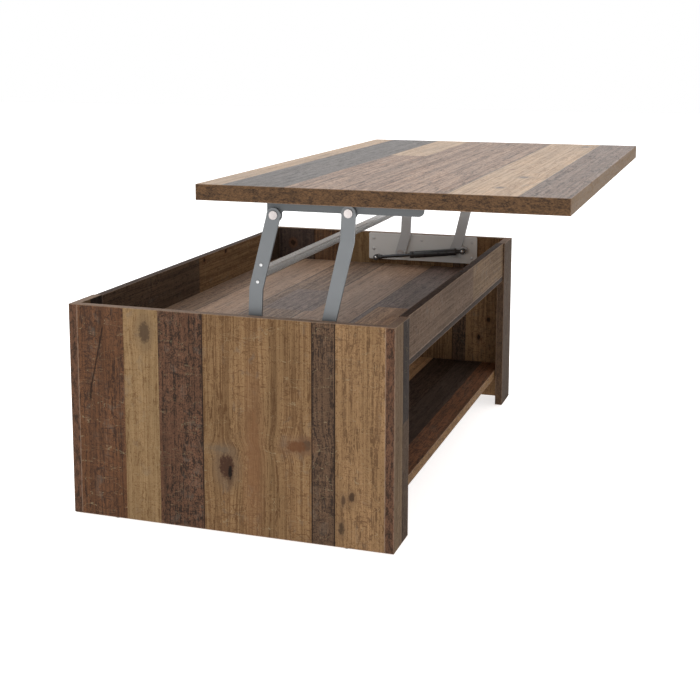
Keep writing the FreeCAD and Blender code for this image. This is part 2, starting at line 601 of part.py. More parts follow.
# ---- bracket under the top -------------------------------------------------------------------------
def build_bracket():
    """Write the angle bracket with its two lugs, its screws and the high pivot pins."""
    low = FRONT_HIGH[1] - BRACKET_SHOULDER
    web = slab_yz([(BRACKET_FRONT_Y, low), (BRACKET_REAR_Y, low), (BRACKET_REAR_Y, TOP_UNDER),
                   (BRACKET_FRONT_Y, TOP_UNDER)], BRACKET_X, BRACKET_THICK)
    web = round_x_edges(web, [(BRACKET_FRONT_Y, low)], BRACKET_CORNER)
    lugs = [rod((1, 0, 0), at(p, BRACKET_X), LUG_RADIUS, BRACKET_THICK) for p in (REAR_HIGH, FRONT_HIGH)]
    heel = slab_yz([REAR_HIGH, (BRACKET_REAR_Y, REAR_HIGH[1]), (BRACKET_REAR_Y, TOP_UNDER),
                    (REAR_HIGH[0], TOP_UNDER)], BRACKET_X, BRACKET_THICK)
    web = fuse([web, heel] + lugs)
    rear_half = math.sqrt(LUG_RADIUS ** 2 - (REAR_HIGH[1] - low) ** 2)
    front_half = math.sqrt(LUG_RADIUS ** 2 - (FRONT_HIGH[1] - low) ** 2)
    meets = [(REAR_HIGH[0] - rear_half, low), (FRONT_HIGH[0] - front_half, low),
             (FRONT_HIGH[0] + front_half, low)]
    web = round_x_edges(web, meets, LUG_BLEND)
    flange = box(BRACKET_X, BRACKET_X + BRACKET_FLANGE, BRACKET_FRONT_Y, BRACKET_REAR_Y,
                 TOP_UNDER - BRACKET_THICK, TOP_UNDER)
    bracket = fuse([web, flange])
    holes = [bore(p, BRACKET_X, PIN_RADIUS, BRACKET_THICK)
             for p in (REAR_HIGH, FRONT_HIGH)]
    screws = []
    for y in BRACKET_SCREW_Y:
        place = (BRACKET_SCREW_X, y, TOP_UNDER - BRACKET_THICK)
        holes.append(rod((0, 0, 1), place, SCREW_RADIUS + HOLE_CLEARANCE, BRACKET_THICK))
        shank = rod((0, 0, 1), place, SCREW_RADIUS, SCREW_LENGTH)
        head = rod((0, 0, -1), place, SCREW_HEAD_RADIUS, SCREW_HEAD_THICK)
        screws.append(shank.fuse(head))
    save_pair("top_bracket", cut(bracket, holes))
    save_pair("top_bracket_screws", Part.makeCompound(screws))

    pins = []
    for place in (REAR_HIGH, FRONT_HIGH):
        start = ARM_X - PART_GAP
        shank = rod((1, 0, 0), at(place, start), PIN_RADIUS, BRACKET_X + BRACKET_THICK - start)
        head = rod((-1, 0, 0), at(place, start), PIN_HEAD_RADIUS, PIN_HEAD_THICK)
        washer_x = ARM_FACE_X + PART_GAP
        washer = rod((1, 0, 0), at(place, washer_x), WASHER_RADIUS, BRACKET_X - washer_x)
        tail = rod((1, 0, 0), at(place, BRACKET_X + BRACKET_THICK), PIN_TAIL_RADIUS, PIN_TAIL_THICK)
        pins.append(fuse([shank, head, washer, tail]))
    save_pair("high_pivot_pins", Part.makeCompound(pins))


# ---- gas spring --------------------------------------------------------------------------------------
def build_gas_spring():
    """Write the spring between the front arm lobe and the plate stud, extended."""
    start = Vector(GAS_X, LOBE_STUD[0], LOBE_STUD[1])
    end = Vector(GAS_X, PLATE_STUD[0], PLATE_STUD[1])
    way = (end - start).normalize()
    across = Vector(1, 0, 0)

    def on_axis(distance, radius, length):
        """Return a cylinder on the spring axis, measured from the lobe ball."""
        return Part.makeCylinder(radius, length, start + way * distance, way)

    body = on_axis(GAS_SOCKET_LENGTH, GAS_CYLINDER_RADIUS, GAS_CYLINDER_LENGTH)
    bore_start = GAS_SOCKET_LENGTH + GAS_END_WALL
    bore_length = GAS_CYLINDER_LENGTH - GAS_END_WALL - GAS_GUIDE_LENGTH
    bore = on_axis(bore_start, GAS_CYLINDER_RADIUS - GAS_WALL, bore_length)
    mouth = on_axis(bore_start, GAS_ROD_RADIUS + RUNNING_CLEARANCE, GAS_CYLINDER_LENGTH)
    save_pair("gas_cylinder", cut(body, [bore, mouth]))

    span = (end - start).Length
    rod_end = span - GAS_SOCKET_LENGTH
    inside = bore_start + bore_length - GAS_PISTON_GAP - GAS_PISTON_LENGTH
    piston_radius = GAS_CYLINDER_RADIUS - GAS_WALL - RUNNING_CLEARANCE
    piston = on_axis(inside, piston_radius, GAS_PISTON_LENGTH)
    save_pair("gas_rod", fuse([on_axis(inside, GAS_ROD_RADIUS, rod_end - inside), piston]))

    for name, middle, first in (("cylinder_socket", start, 0.0), ("rod_socket", end, rod_end)):
        cup = Part.makeCylinder(GAS_SOCKET_RADIUS, 2.0 * GAS_SOCKET_RADIUS - GAS_BALL_PROUD,
                                middle - across * GAS_SOCKET_RADIUS, across)
        neck = on_axis(first, GAS_SOCKET_NECK_RADIUS, GAS_SOCKET_LENGTH)
        centre = middle + across * GAS_BALL_PROUD
        seat = Part.makeSphere(GAS_BALL_RADIUS + RUNNING_CLEARANCE, centre, across)
        save_pair(name, cut(fuse([cup, neck]), [seat]))
        save_pair(name.replace("socket", "ball"), Part.makeSphere(GAS_BALL_RADIUS, centre, across))


if __name__ == "__main__":
    os.makedirs("parts", exist_ok=True)
    build_case()
    build_top()
    build_base_plate()
    build_arms()
    build_tie_bar()
    build_bracket()
    build_gas_spring()
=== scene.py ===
"""Looks of a coffee table whose top rises over its storage tray on swinging arms.

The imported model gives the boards, arms, brackets and pins in their places. This script
dresses the boards in old mixed planks and the steelwork in grey paint, and puts finer
screws, rivets, gas springs and glides where the plain ones stand.
"""

import logging
import math
from dataclasses import dataclass
from enum import Enum, IntEnum

import bmesh
import bpy
from mathutils import Matrix, Vector


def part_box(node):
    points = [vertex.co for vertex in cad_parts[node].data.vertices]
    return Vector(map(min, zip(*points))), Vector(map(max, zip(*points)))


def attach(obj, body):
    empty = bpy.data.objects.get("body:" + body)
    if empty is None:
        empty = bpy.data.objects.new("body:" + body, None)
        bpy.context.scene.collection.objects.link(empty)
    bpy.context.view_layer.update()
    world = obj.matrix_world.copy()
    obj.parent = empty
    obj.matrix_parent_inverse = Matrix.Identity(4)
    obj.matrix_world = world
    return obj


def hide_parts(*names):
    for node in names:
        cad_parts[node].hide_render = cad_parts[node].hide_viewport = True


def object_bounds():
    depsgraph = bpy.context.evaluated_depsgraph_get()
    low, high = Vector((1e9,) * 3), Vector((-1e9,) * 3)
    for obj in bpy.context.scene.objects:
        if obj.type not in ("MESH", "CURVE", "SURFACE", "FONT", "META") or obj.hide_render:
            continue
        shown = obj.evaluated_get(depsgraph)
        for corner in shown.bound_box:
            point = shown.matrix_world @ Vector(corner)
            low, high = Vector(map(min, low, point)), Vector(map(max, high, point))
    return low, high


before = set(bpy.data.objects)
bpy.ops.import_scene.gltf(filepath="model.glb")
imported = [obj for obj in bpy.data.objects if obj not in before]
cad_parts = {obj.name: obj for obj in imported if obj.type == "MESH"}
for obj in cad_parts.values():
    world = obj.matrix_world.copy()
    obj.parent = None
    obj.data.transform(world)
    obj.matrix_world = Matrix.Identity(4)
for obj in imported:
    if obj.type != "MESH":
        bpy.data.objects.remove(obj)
CAD_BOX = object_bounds()

LOG = logging.getLogger("lift_top_table")
MM = 0.001
Colour = tuple[float, float, float]


class Axis(IntEnum):
    """The three directions of the table: along it, front to back, and up."""

    X = 0
    Y = 1
    Z = 2


class Side(Enum):
    """The two ends of the table, and which way is inwards from each."""

    LEFT = ("left", 1.0)
    RIGHT = ("right", -1.0)

    @property
    def word(self) -> str:
        """Return the word that ends the names of this side's nodes."""
        return self.value[0]

    @property
    def inwards(self) -> float:
        """Return the sign of X that points to the middle of the table."""
        return self.value[1]


# ---- shader sums ----------------------------------------------------------------------------------


class Field:
    """An output socket of a material, which stands in Python sums as a number."""

    def __init__(self, shader: "Shader", socket: bpy.types.NodeSocket) -> None:
        """Hold a socket and the shader that it belongs to."""
        self.shader = shader
        self.socket = socket

    def __add__(self, other: "Field | float") -> "Field":
        """Return this plus the other."""
        return self.shader.maths("ADD", self, other)

    __radd__ = __add__

    def __sub__(self, other: "Field | float") -> "Field":
        """Return this less the other."""
        return self.shader.maths("SUBTRACT", self, other)

    def __rsub__(self, other: float) -> "Field":
        """Return the other less this."""
        return self.shader.maths("SUBTRACT", other, self)

    def __mul__(self, other: "Field | float") -> "Field":
        """Return this times the other."""
        return self.shader.maths("MULTIPLY", self, other)

    __rmul__ = __mul__

    def __truediv__(self, other: "Field | float") -> "Field":
        """Return this over the other."""
        return self.shader.maths("DIVIDE", self, other)

    def __abs__(self) -> "Field":
        """Return the size of this without its sign."""
        return self.shader.maths("ABSOLUTE", self)


class Shader:
    """A material or world under making, with one method for each kind of step."""

    def __init__(self, owner: bpy.types.Material | bpy.types.World) -> None:
        """Start with no nodes.

        Args:
            owner: The new material or world.
        """
        self.owner = owner
        owner.use_nodes = True
        self.tree = owner.node_tree
        self.tree.nodes.clear()

    def node(self, kind: str, settings: dict | None = None, sockets: dict | None = None) -> bpy.types.Node:
        """Add a node.

        Args:
            kind: The node's type.
            settings: What to set on the node first; stops are a ramp's colours.
            sockets: Values or links of its inputs, by name or by number.

        Returns:
            The new node.
        """
        made = self.tree.nodes.new(kind)
        for name, setting in (settings or {}).items():
            if name == "stops":
                self._set_stops(made.color_ramp, setting)
            elif name == "interpolation":
                made.color_ramp.interpolation = setting
            else:
                setattr(made, name, setting)
        for name, content in (sockets or {}).items():
            if isinstance(content, Field):
                self.tree.links.new(content.socket, made.inputs[name])
            else:
                made.inputs[name].default_value = content
        return made

    @staticmethod
    def _set_stops(ramp: bpy.types.ColorRamp, stops: list[tuple[float, tuple]]) -> None:
        """Give a ramp its stops.

        Args:
            ramp: The ramp of a ColorRamp node.
            stops: Each stop's place, from 0 to 1, and its four numbers.
        """
        while len(ramp.elements) > 1:
            ramp.elements.remove(ramp.elements[0])
        for number, (place, colour) in enumerate(stops):
            stop = ramp.elements[0] if number == 0 else ramp.elements.new(place)
            stop.position = place
            stop.color = colour

    def field(self, kind: str, settings: dict | None = None, sockets: dict | None = None,
              output: int | str = 0) -> Field:
        """Add a node and return one of its outputs.

        Args:
            kind: The node's type.
            settings: What to set on the node first.
            sockets: Values or links of its inputs.
            output: The output's number or name.

        Returns:
            The output as a field.
        """
        return Field(self, self.node(kind, settings, sockets).outputs[output])

    def maths(self, operation: str, *numbers: "Field | float") -> Field:
        """Return the result of a Math node.

        Args:
            operation: The node's operation.
            numbers: Its inputs, in order.

        Returns:
            The result.
        """
        return self.field("ShaderNodeMath", {"operation": operation}, dict(enumerate(numbers)))

    def smooth(self, value: Field, low: float, high: float) -> Field:
        """Return a soft step from 0 at low to 1 at high, or the reverse where low is the larger."""
        settings = {"interpolation_type": "SMOOTHSTEP"}
        sockets = {"Value": value, "From Min": low, "From Max": high}
        return self.field("ShaderNodeMapRange", settings, sockets)

    def axes(self, output: str) -> list[Field]:
        """Return the three parts of an output of Texture Coordinate, such as Object or Normal."""
        vector = self.field("ShaderNodeTexCoord", output=output)
        parts = self.node("ShaderNodeSeparateXYZ", sockets={0: vector})
        return [Field(self, parts.outputs[axis]) for axis in Axis]

    def joined(self, x: "Field | float", y: "Field | float", z: "Field | float") -> Field:
        """Return a vector made of three numbers."""
        return self.field("ShaderNodeCombineXYZ", sockets={0: x, 1: y, 2: z})

    def noise(self, vector: Field, detail: float = 2.0, rough: float = 0.5, distortion: float = 0.0) -> Field:
        """Return soft noise, mostly from 0.3 to 0.7.

        Args:
            vector: Where it is read; a step of 1 is one blotch.
            detail: Number of finer layers.
            rough: How strong the finer layers are.
            distortion: How far the pattern is bent by itself.

        Returns:
            The noise.
        """
        sockets = {"Vector": vector, "Scale": 1.0, "Detail": detail, "Roughness": rough,
                   "Distortion": distortion}
        return self.field("ShaderNodeTexNoise", sockets=sockets)

    def mix(self, factor: "Field | float", first: "Field | Colour", second: "Field | Colour") -> Field:
        """Return a colour between two.

        Args:
            factor: 0 for the first colour and 1 for the second.
            first: A colour or a field of colours.
            second: A colour or a field of colours.

        Returns:
            The mixed colour.
        """
        ends = [end if isinstance(end, Field) else (*end, 1.0) for end in (first, second)]
        settings = {"data_type": "RGBA", "clamp_factor": True}
        return self.field("ShaderNodeMix", settings, {0: factor, 6: ends[0], 7: ends[1]}, output=2)

    def scaled(self, colour: Field, factor: "Field | float") -> Field:
        """Return a colour made lighter or darker by a factor."""
        return self.field("ShaderNodeVectorMath", {"operation": "SCALE"}, {0: colour, "Scale": factor})

    def bumped(self, height: Field, strength: float, distance: float) -> Field:
        """Return a normal bent by a bump.

        Args:
            height: What the bump follows.
            strength: How strong the bump is.
            distance: How deep the bump is, in metres.

        Returns:
            The normal.
        """
        sockets = {"Height": height, "Strength": strength, "Distance": distance}
        return self.field("ShaderNodeBump", sockets=sockets)

    def surface(self, sockets: dict) -> Field:
        """Return a Principled surface with these values or links of its sockets."""
        return self.field("ShaderNodeBsdfPrincipled", sockets=sockets)

    def finish(self, shown: Field) -> bpy.types.Material | bpy.types.World:
        """Close the node tree with its output.

        Args:
            shown: The surface, or a world's light.

        Returns:
            The finished material or world.
        """
        kind = "World" if isinstance(self.owner, bpy.types.World) else "Material"
        self.node(f"ShaderNodeOutput{kind}", sockets={"Surface": shown})
        return self.owner


# ---- plank decor ----------------------------------------------------------------------------------


@dataclass(frozen=True)
class WoodTone:
    """How one kind of old plank looks."""

    base: Colour
    grain: Colour
    streaks: float
    dirt: float
    cracks: float


class Tone(Enum):
    """The kinds of plank in the decor."""

    TAN = WoodTone((0.258, 0.168, 0.085), (0.128, 0.072, 0.034), 0.55, 0.40, 0.55)
    PINE = WoodTone((0.222, 0.134, 0.066), (0.106, 0.056, 0.027), 0.80, 0.36, 0.80)
    HONEY = WoodTone((0.280, 0.168, 0.083), (0.125, 0.070, 0.036), 0.50, 0.55, 0.90)
    REDDISH = WoodTone((0.136, 0.063, 0.032), (0.046, 0.026, 0.018), 0.55, 0.60, 1.00)
    DARK = WoodTone((0.132, 0.066, 0.040), (0.030, 0.020, 0.015), 0.45, 1.00, 0.60)
    WEATHERED = WoodTone((0.138, 0.082, 0.050), (0.036, 0.024, 0.018), 0.45, 0.85, 0.80)
    GREY_TAN = WoodTone((0.185, 0.121, 0.068), (0.088, 0.054, 0.034), 0.60, 0.35, 0.40)
    UMBER = WoodTone((0.110, 0.070, 0.044), (0.040, 0.025, 0.018), 0.65, 0.60, 0.50)
    CLAY = WoodTone((0.158, 0.102, 0.066), (0.072, 0.045, 0.031), 0.60, 0.45, 0.40)
    BROWN = WoodTone((0.180, 0.097, 0.050), (0.060, 0.033, 0.021), 0.75, 0.55, 0.60)
    SLATE = WoodTone((0.088, 0.060, 0.048), (0.036, 0.026, 0.023), 0.60, 0.70, 0.50)
    STRAW = WoodTone((0.370, 0.235, 0.125), (0.170, 0.098, 0.052), 0.60, 0.45, 0.40)
    SOOT = WoodTone((0.052, 0.033, 0.024), (0.016, 0.011, 0.009), 0.60, 0.90, 0.50)
    RUST = WoodTone((0.130, 0.072, 0.037), (0.040, 0.026, 0.018), 0.60, 0.75, 0.50)
    MAROON = WoodTone((0.150, 0.080, 0.044), (0.046, 0.026, 0.019), 0.60, 0.90, 0.80)
    CHESTNUT = WoodTone((0.270, 0.143, 0.070), (0.072, 0.038, 0.024), 0.80, 0.70, 0.80)
    CHAR = WoodTone((0.045, 0.032, 0.026), (0.020, 0.015, 0.013), 0.60, 0.60, 0.30)
    AMBER = WoodTone((0.240, 0.140, 0.066), (0.084, 0.046, 0.024), 0.80, 0.60, 0.60)
    PALE_RIM = WoodTone((0.250, 0.180, 0.135), (0.140, 0.098, 0.074), 0.60, 0.40, 0.20)


@dataclass(frozen=True)
class Knot:
    """A dark knot, placed in millimetres from the board's low corner."""

    across: float
    along: float
    width: float
    height: float
    core: Colour = (0.022, 0.012, 0.008)
    halo: Colour = (0.120, 0.052, 0.024)
    ink: float = 0.9


@dataclass(frozen=True)
class Split:
    """A long dark split from one place on the board to another, in millimetres from its low corner."""

    start: tuple[float, float]
    end: tuple[float, float]
    width: float = 1.2


@dataclass(frozen=True)
class Patch:
    """A length of another plank let into the rows, in millimetres from the board's low corner."""

    across: tuple[float, float]
    along: tuple[float, float]
    tone: Tone


@dataclass(frozen=True)
class Pattern:
    """Noise laid over a board, in marks per metre across it, along it and through it."""

    across: float
    along: float
    through: float
    detail: float
    rough: float
    distortion: float = 0.0
    slide: tuple[float, float, float] = (1.0, 0.0, 0.0)

    def read(self, shader: Shader, place: tuple[Field, Field, Field], turn: "Field | float") -> Field:
        """Read the pattern.

        Args:
            shader: The material under making.
            place: Distance across, along and through the board, in metres.
            turn: How far the pattern slides, so that planks differ.

        Returns:
            The noise.
        """
        parts = []
        for part, rate, way in zip(place, (self.across, self.along, self.through), self.slide):
            parts.append(part * rate + turn * way if way else part * rate)
        return shader.noise(shader.joined(*parts), self.detail, self.rough, self.distortion)


# Growth rings and their fine lines, wandering clefts, broad clouds of tone, blots and specks of
# dirt, scuffs any way, scrapes across the grain, and the grit that roughens knots and splits.
RINGS = Pattern(170.0, 1.3, 40.0, 4.0, 0.62, 0.18, (1.0, 1.0, 0.0))
LINES = Pattern(620.0, 6.0, 300.0, 2.0, 0.60, slide=(1.0, 0.0, 1.0))
CLEFTS = Pattern(66.0, 3.6, 25.0, 4.0, 0.55, slide=(1.0, 1.0, 0.0))
CLOUD = Pattern(20.0, 4.0, 16.0, 3.0, 0.55, slide=(1.0, 0.0, 1.0))
BLOTS = Pattern(170.0, 75.0, 150.0, 6.0, 0.75)
SPECKS = Pattern(420.0, 300.0, 300.0, 4.0, 0.70)
SCUFFS = Pattern(48.0, 40.0, 40.0, 3.0, 0.60, 0.6, (1.0, 1.0, 0.0))
SCRAPES = Pattern(15.0, 52.0, 40.0, 2.0, 0.55, 0.3, (1.0, -1.0, 0.0))
GRIT = Pattern(200.0, 120.0, 160.0, 5.0, 0.70, slide=(0.0, 0.0, 0.0))
PLANK_SLIDE = 91.0

SCORED = (0.300, 0.235, 0.140)
GREYED = (0.115, 0.102, 0.084)
GAP_DARK = (0.020, 0.013, 0.010)
WORN_EDGE = (0.26, 0.18, 0.13)
GAP_INK = 0.82
WORN_INK = 0.45
FACING = 0.7
DULL_IOR = 1.16
DULL_SPECULAR = 0.15
LACQUER_IOR = 1.46
BUMP_DEPTH = 0.0004
RIM_ALONG = 60.0
RIM_ACROSS = 150.0
RIM_FINER = 5.0


@dataclass(frozen=True)
class BoardNoise:
    """The noises that one board's marks are drawn from."""

    rings: Field
    lines: Field
    clefts: Field
    cloud: Field
    blots: Field
    specks: Field
    scuffs: Field
    scrapes: Field


@dataclass(frozen=True)
class PlankDecor:
    """The decor of one board: rows of planks on its broad faces and bands round its rim."""

    node: str
    across: Axis
    along: Axis
    rows: tuple[tuple[float, Tone], ...]
    rims: tuple[tuple[Axis, Tone], ...] = ()
    knots: tuple[Knot, ...] = ()
    splits: tuple[Split, ...] = ()
    patches: tuple[Patch, ...] = ()
    seed: float = 0.0
    roughness: float = 0.46
    lacquer: float = 0.0
    # strength scales the board's brightness: its own tone, and on the tray floor and the shelf painted light,
    # brightening them where the case keeps light off.
    strength: float = 1.0
    joint_width: float = 1.1
    stretch: float = 1.0
    relief: float = 0.30
    grime: float = 1.0

    def dress(self) -> None:
        """Give the board's node its decor."""
        put_on(self.node, self.material())

    def material(self) -> bpy.types.Material:
        """Make the decor.

        Returns:
            The material of the board.
        """
        shader = Shader(bpy.data.materials.new(f"{self.node}_decor"))
        low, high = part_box(self.node)
        place = shader.axes("Object")
        facing = [abs(part) for part in shader.axes("Normal")]
        depth = next(axis for axis in Axis if axis not in (self.across, self.along))
        u, v, w = (place[axis] - low[axis] for axis in (self.across, self.along, depth))
        width = high[self.across] - low[self.across]

        grit = GRIT.read(shader, (u, v, w), 0.0)
        bent, knot_masks = self._knots(shader, u, v, grit)
        base, grain, character, seed = self._rows(shader, u, v, width)
        noise = self._noise(shader, bent, (u, v, w), seed * PLANK_SLIDE + self.seed)
        colour, dark = self._wood(shader, base, grain, character, noise)
        for knot, core, halo in knot_masks:
            colour = shader.mix(halo * (knot.ink * 0.6), colour, knot.halo)
            colour = shader.mix(core * knot.ink, colour, knot.core)
        gaps = self._joints(shader, u, width)
        for split in self.splits:
            gaps = shader.maths("MAXIMUM", gaps, self._split(shader, split, u, v, grit))
        colour = shader.mix(gaps * GAP_INK, colour, GAP_DARK)

        for axis, tone in self.rims:
            edge = shader.maths("GREATER_THAN", facing[axis], FACING)
            sizes = {other: high[other] - low[other] for other in Axis if other is not axis}
            longest = max(sizes, key=sizes.get)
            colour = shader.mix(edge, colour, self._rim(shader, longest, tone, place, noise.blots))
        border = self._border(shader, low, high, place)
        worn = shader.smooth(border + (noise.blots - 0.5) * 0.005, 0.0016, 0.0004)
        colour = shader.mix(worn * WORN_INK, colour, WORN_EDGE)
        broad = shader.maths("GREATER_THAN", facing[depth], FACING)
        return shader.finish(self._coat(shader, colour, dark, gaps, noise, broad))

    def _noise(self, shader: Shader, bent: Field, place: tuple[Field, Field, Field],
               turn: Field) -> BoardNoise:
        """Lay the noises over the board.

        Args:
            shader: The material under making.
            bent: Distance across, bent round the knots, in metres.
            place: Distance across, along and through the board, in metres.
            turn: How far each plank's patterns slide.

        Returns:
            The noises.
        """
        u, v, w = place
        with_grain = (bent, v, w)
        drawn = (u, v / self.stretch, w)
        return BoardNoise(
            rings=RINGS.read(shader, with_grain, turn), lines=LINES.read(shader, with_grain, turn),
            clefts=CLEFTS.read(shader, with_grain, turn), cloud=CLOUD.read(shader, place, turn),
            blots=BLOTS.read(shader, drawn, turn), specks=SPECKS.read(shader, drawn, turn),
            scuffs=SCUFFS.read(shader, drawn, turn), scrapes=SCRAPES.read(shader, place, turn))

    def _wood(self, shader: Shader, base: Field, grain: Field, character: Field,
              noise: BoardNoise) -> tuple[Field, Field]:
        """Colour the planks with their grain, dirt, cracks and scratches.

        Args:
            shader: The material under making.
            base: The plank's light colour.
            grain: The plank's dark colour.
            character: How strong its streaks, dirt and cracks are.
            noise: The board's noises.

        Returns:
            The colour, and how dark each mark is.
        """
        parts = shader.node("ShaderNodeSeparateColor", sockets={0: character})
        streaks, dirt, cracks = (Field(shader, parts.outputs[number]) for number in range(3))
        smooth = shader.smooth

        ring_mark = smooth(noise.rings, 0.45, 0.57) * 0.62 + smooth(noise.lines, 0.46, 0.62) * 0.48
        dirt_mark = smooth(noise.blots, 0.47, 0.62) * 0.65 + smooth(noise.specks, 0.45, 0.60) * 0.50
        dirt_mark = dirt_mark * (smooth(noise.cloud, 0.25, 0.60) * 0.7 + 0.3)
        # A thin line runs wherever a noise crosses its middle value.
        cleft = smooth(abs(noise.clefts - 0.5), 0.026, 0.004) * smooth(noise.blots, 0.42, 0.54)
        scuff = smooth(abs(noise.scuffs - 0.5), 0.018, 0.002) * smooth(noise.specks, 0.40, 0.56)
        scrape = smooth(abs(noise.scrapes - 0.5), 0.016, 0.003) * smooth(noise.cloud, 0.44, 0.56)
        spot = smooth(noise.specks, 0.60, 0.67)
        crack_mark = cleft * 1.1 + scuff * 0.8 + scrape * 0.7 + spot * 0.7
        dark = streaks * ring_mark + dirt * dirt_mark * self.grime + cracks * crack_mark

        colour = shader.mix(dark, base, grain)
        pale = smooth(noise.rings, 0.58, 0.68) * smooth(noise.cloud, 0.40, 0.62) * streaks
        colour = shader.mix(pale * 0.55, colour, shader.scaled(base, 1.4))
        # strength scales the whole colour; on the tray floor and the shelf this is painted light.
        colour = shader.scaled(colour, (0.34 + noise.cloud * 1.04 + noise.lines * 0.32) * self.strength)
        scored = smooth(abs(noise.scrapes - 0.42), 0.010, 0.002) * smooth(noise.blots, 0.45, 0.55) * cracks
        colour = shader.mix(scored * 0.50, colour, SCORED)
        greyed = smooth(noise.scuffs, 0.52, 0.68) * smooth(noise.cloud, 0.45, 0.60)
        return shader.mix(greyed * 0.30, colour, GREYED), dark

    def _coat(self, shader: Shader, colour: Field, dark: Field, gaps: Field, noise: BoardNoise,
              broad: Field) -> Field:
        """Coat the board: dull all over, and lacquered on its broad faces where it has lacquer.

        Args:
            shader: The material under making.
            colour: The board's colour.
            dark: How dark each mark is.
            gaps: The joints and splits.
            noise: The board's noises.
            broad: 1 on the broad faces.

        Returns:
            The surface.
        """
        gloss = self.roughness + dark * 0.10 + (noise.blots - 0.5) * 0.18
        normal = shader.bumped(noise.lines - dark - gaps * 1.5, self.relief, BUMP_DEPTH)
        dull = shader.surface({"Base Color": colour, "Roughness": gloss + 0.10, "IOR": DULL_IOR,
                               "Specular IOR Level": DULL_SPECULAR, "Normal": normal})
        if self.lacquer == 0.0:
            return dull
        shiny = shader.surface({"Base Color": colour, "Roughness": gloss, "IOR": LACQUER_IOR,
                                "Specular IOR Level": self.lacquer, "Normal": normal})
        return shader.field("ShaderNodeMixShader", sockets={0: broad, 1: dull, 2: shiny})

    def _rows(self, shader: Shader, u: Field, v: Field, width: float) -> tuple[Field, Field, Field, Field]:
        """Look up the tone of the plank that each point lies on.

        Args:
            shader: The material under making.
            u: Distance across the board, in metres.
            v: Distance along the board, in metres.
            width: The board's width, in metres.

        Returns:
            The base colour, the grain colour, the plank's marks and its own seed.
        """
        whole = sum(part for part, _ in self.rows)
        bases, grains, marks = [], [], []
        start = 0.0
        for number, (part, tone) in enumerate(self.rows):
            wood = tone.value
            bases.append((start / whole, (*wood.base, 1.0)))
            grains.append((start / whole, (*wood.grain, 1.0)))
            own_seed = (number * 0.37 + 0.13) % 1.0
            marks.append((start / whole, (wood.streaks, wood.dirt, wood.cracks, own_seed)))
            start += part
        found = []
        for stops in (bases, grains, marks):
            settings = {"interpolation": "CONSTANT", "stops": stops}
            found.append(shader.node("ShaderNodeValToRGB", settings, {0: u / width}))
        base, grain, character = (Field(shader, ramp.outputs["Color"]) for ramp in found)
        seed = Field(shader, found[2].outputs["Alpha"])
        for number, patch in enumerate(self.patches):
            inside = self._inside(shader, patch, u, v)
            wood = patch.tone.value
            base = shader.mix(inside, base, wood.base)
            grain = shader.mix(inside, grain, wood.grain)
            character = shader.mix(inside, character, (wood.streaks, wood.dirt, wood.cracks))
            seed = seed + inside * (0.29 + 0.11 * number)
        return base, grain, character, seed

    @staticmethod
    def _inside(shader: Shader, patch: Patch, u: Field, v: Field) -> Field:
        """Return 1 on a patch and 0 off it.

        Args:
            shader: The material under making.
            patch: The patch.
            u: Distance across the board, in metres.
            v: Distance along the board, in metres.

        Returns:
            The mask.
        """
        mask = None
        for value, (low, high) in ((u, patch.across), (v, patch.along)):
            middle, half = (low + high) / 2.0 * MM, (high - low) / 2.0 * MM
            step = shader.maths("LESS_THAN", abs(value - middle), half)
            mask = step if mask is None else mask * step
        return mask

    def _joints(self, shader: Shader, u: Field, width: float) -> Field:
        """Return 1 on the thin dark joints between planks.

        Args:
            shader: The material under making.
            u: Distance across the board, in metres.
            width: The board's width, in metres.

        Returns:
            The mask.
        """
        whole = sum(part for part, _ in self.rows)
        half = self.joint_width / 2.0 / (width / MM)
        stops = [(0.0, (0.0, 0.0, 0.0, 1.0))]
        place = 0.0
        for part, _ in self.rows[:-1]:
            place += part / whole
            stops.append((place - half, (1.0, 1.0, 1.0, 1.0)))
            stops.append((place + half, (0.0, 0.0, 0.0, 1.0)))
        settings = {"interpolation": "CONSTANT", "stops": stops}
        return shader.field("ShaderNodeValToRGB", settings, {0: u / width})

    def _knots(self, shader: Shader, u: Field, v: Field, grit: Field) -> tuple[Field, list]:
        """Bend the grain round the knots and mask their cores and halos.

        Args:
            shader: The material under making.
            u: Distance across the board, in metres.
            v: Distance along the board, in metres.
            grit: Noise that roughens the knots' edges.

        Returns:
            The bent distance across, and each knot with its core mask and halo mask.
        """
        bent = u
        masks = []
        for knot in self.knots:
            du = (u - knot.across * MM) / (knot.width * MM)
            dv = (v - knot.along * MM) / (knot.height * MM)
            spread = du * du + dv * dv
            bent = bent - du * shader.maths("EXPONENT", spread * -0.16) * (knot.width * MM * 0.45)
            ragged = spread + (grit - 0.5) * 3.4
            masks.append((knot, shader.smooth(ragged, 1.3, 0.4), shader.smooth(ragged, 5.5, 0.9)))
        return bent, masks

    @staticmethod
    def _split(shader: Shader, split: Split, u: Field, v: Field, grit: Field) -> Field:
        """Return 1 on a split and 0 off it.

        Args:
            shader: The material under making.
            split: The split.
            u: Distance across the board, in metres.
            v: Distance along the board, in metres.
            grit: Noise that roughens the split.

        Returns:
            The mask.
        """
        rise = (split.end[1] - split.start[1]) * MM
        run = (split.end[0] - split.start[0]) * MM
        part = (v - split.start[1] * MM) / rise
        beside = abs(u - split.start[0] * MM - part * run + (grit - 0.5) * 0.004)
        ends = shader.smooth(abs(part - 0.5), 0.5, 0.42)
        return shader.smooth(beside, split.width * MM, split.width * MM * 0.3) * ends

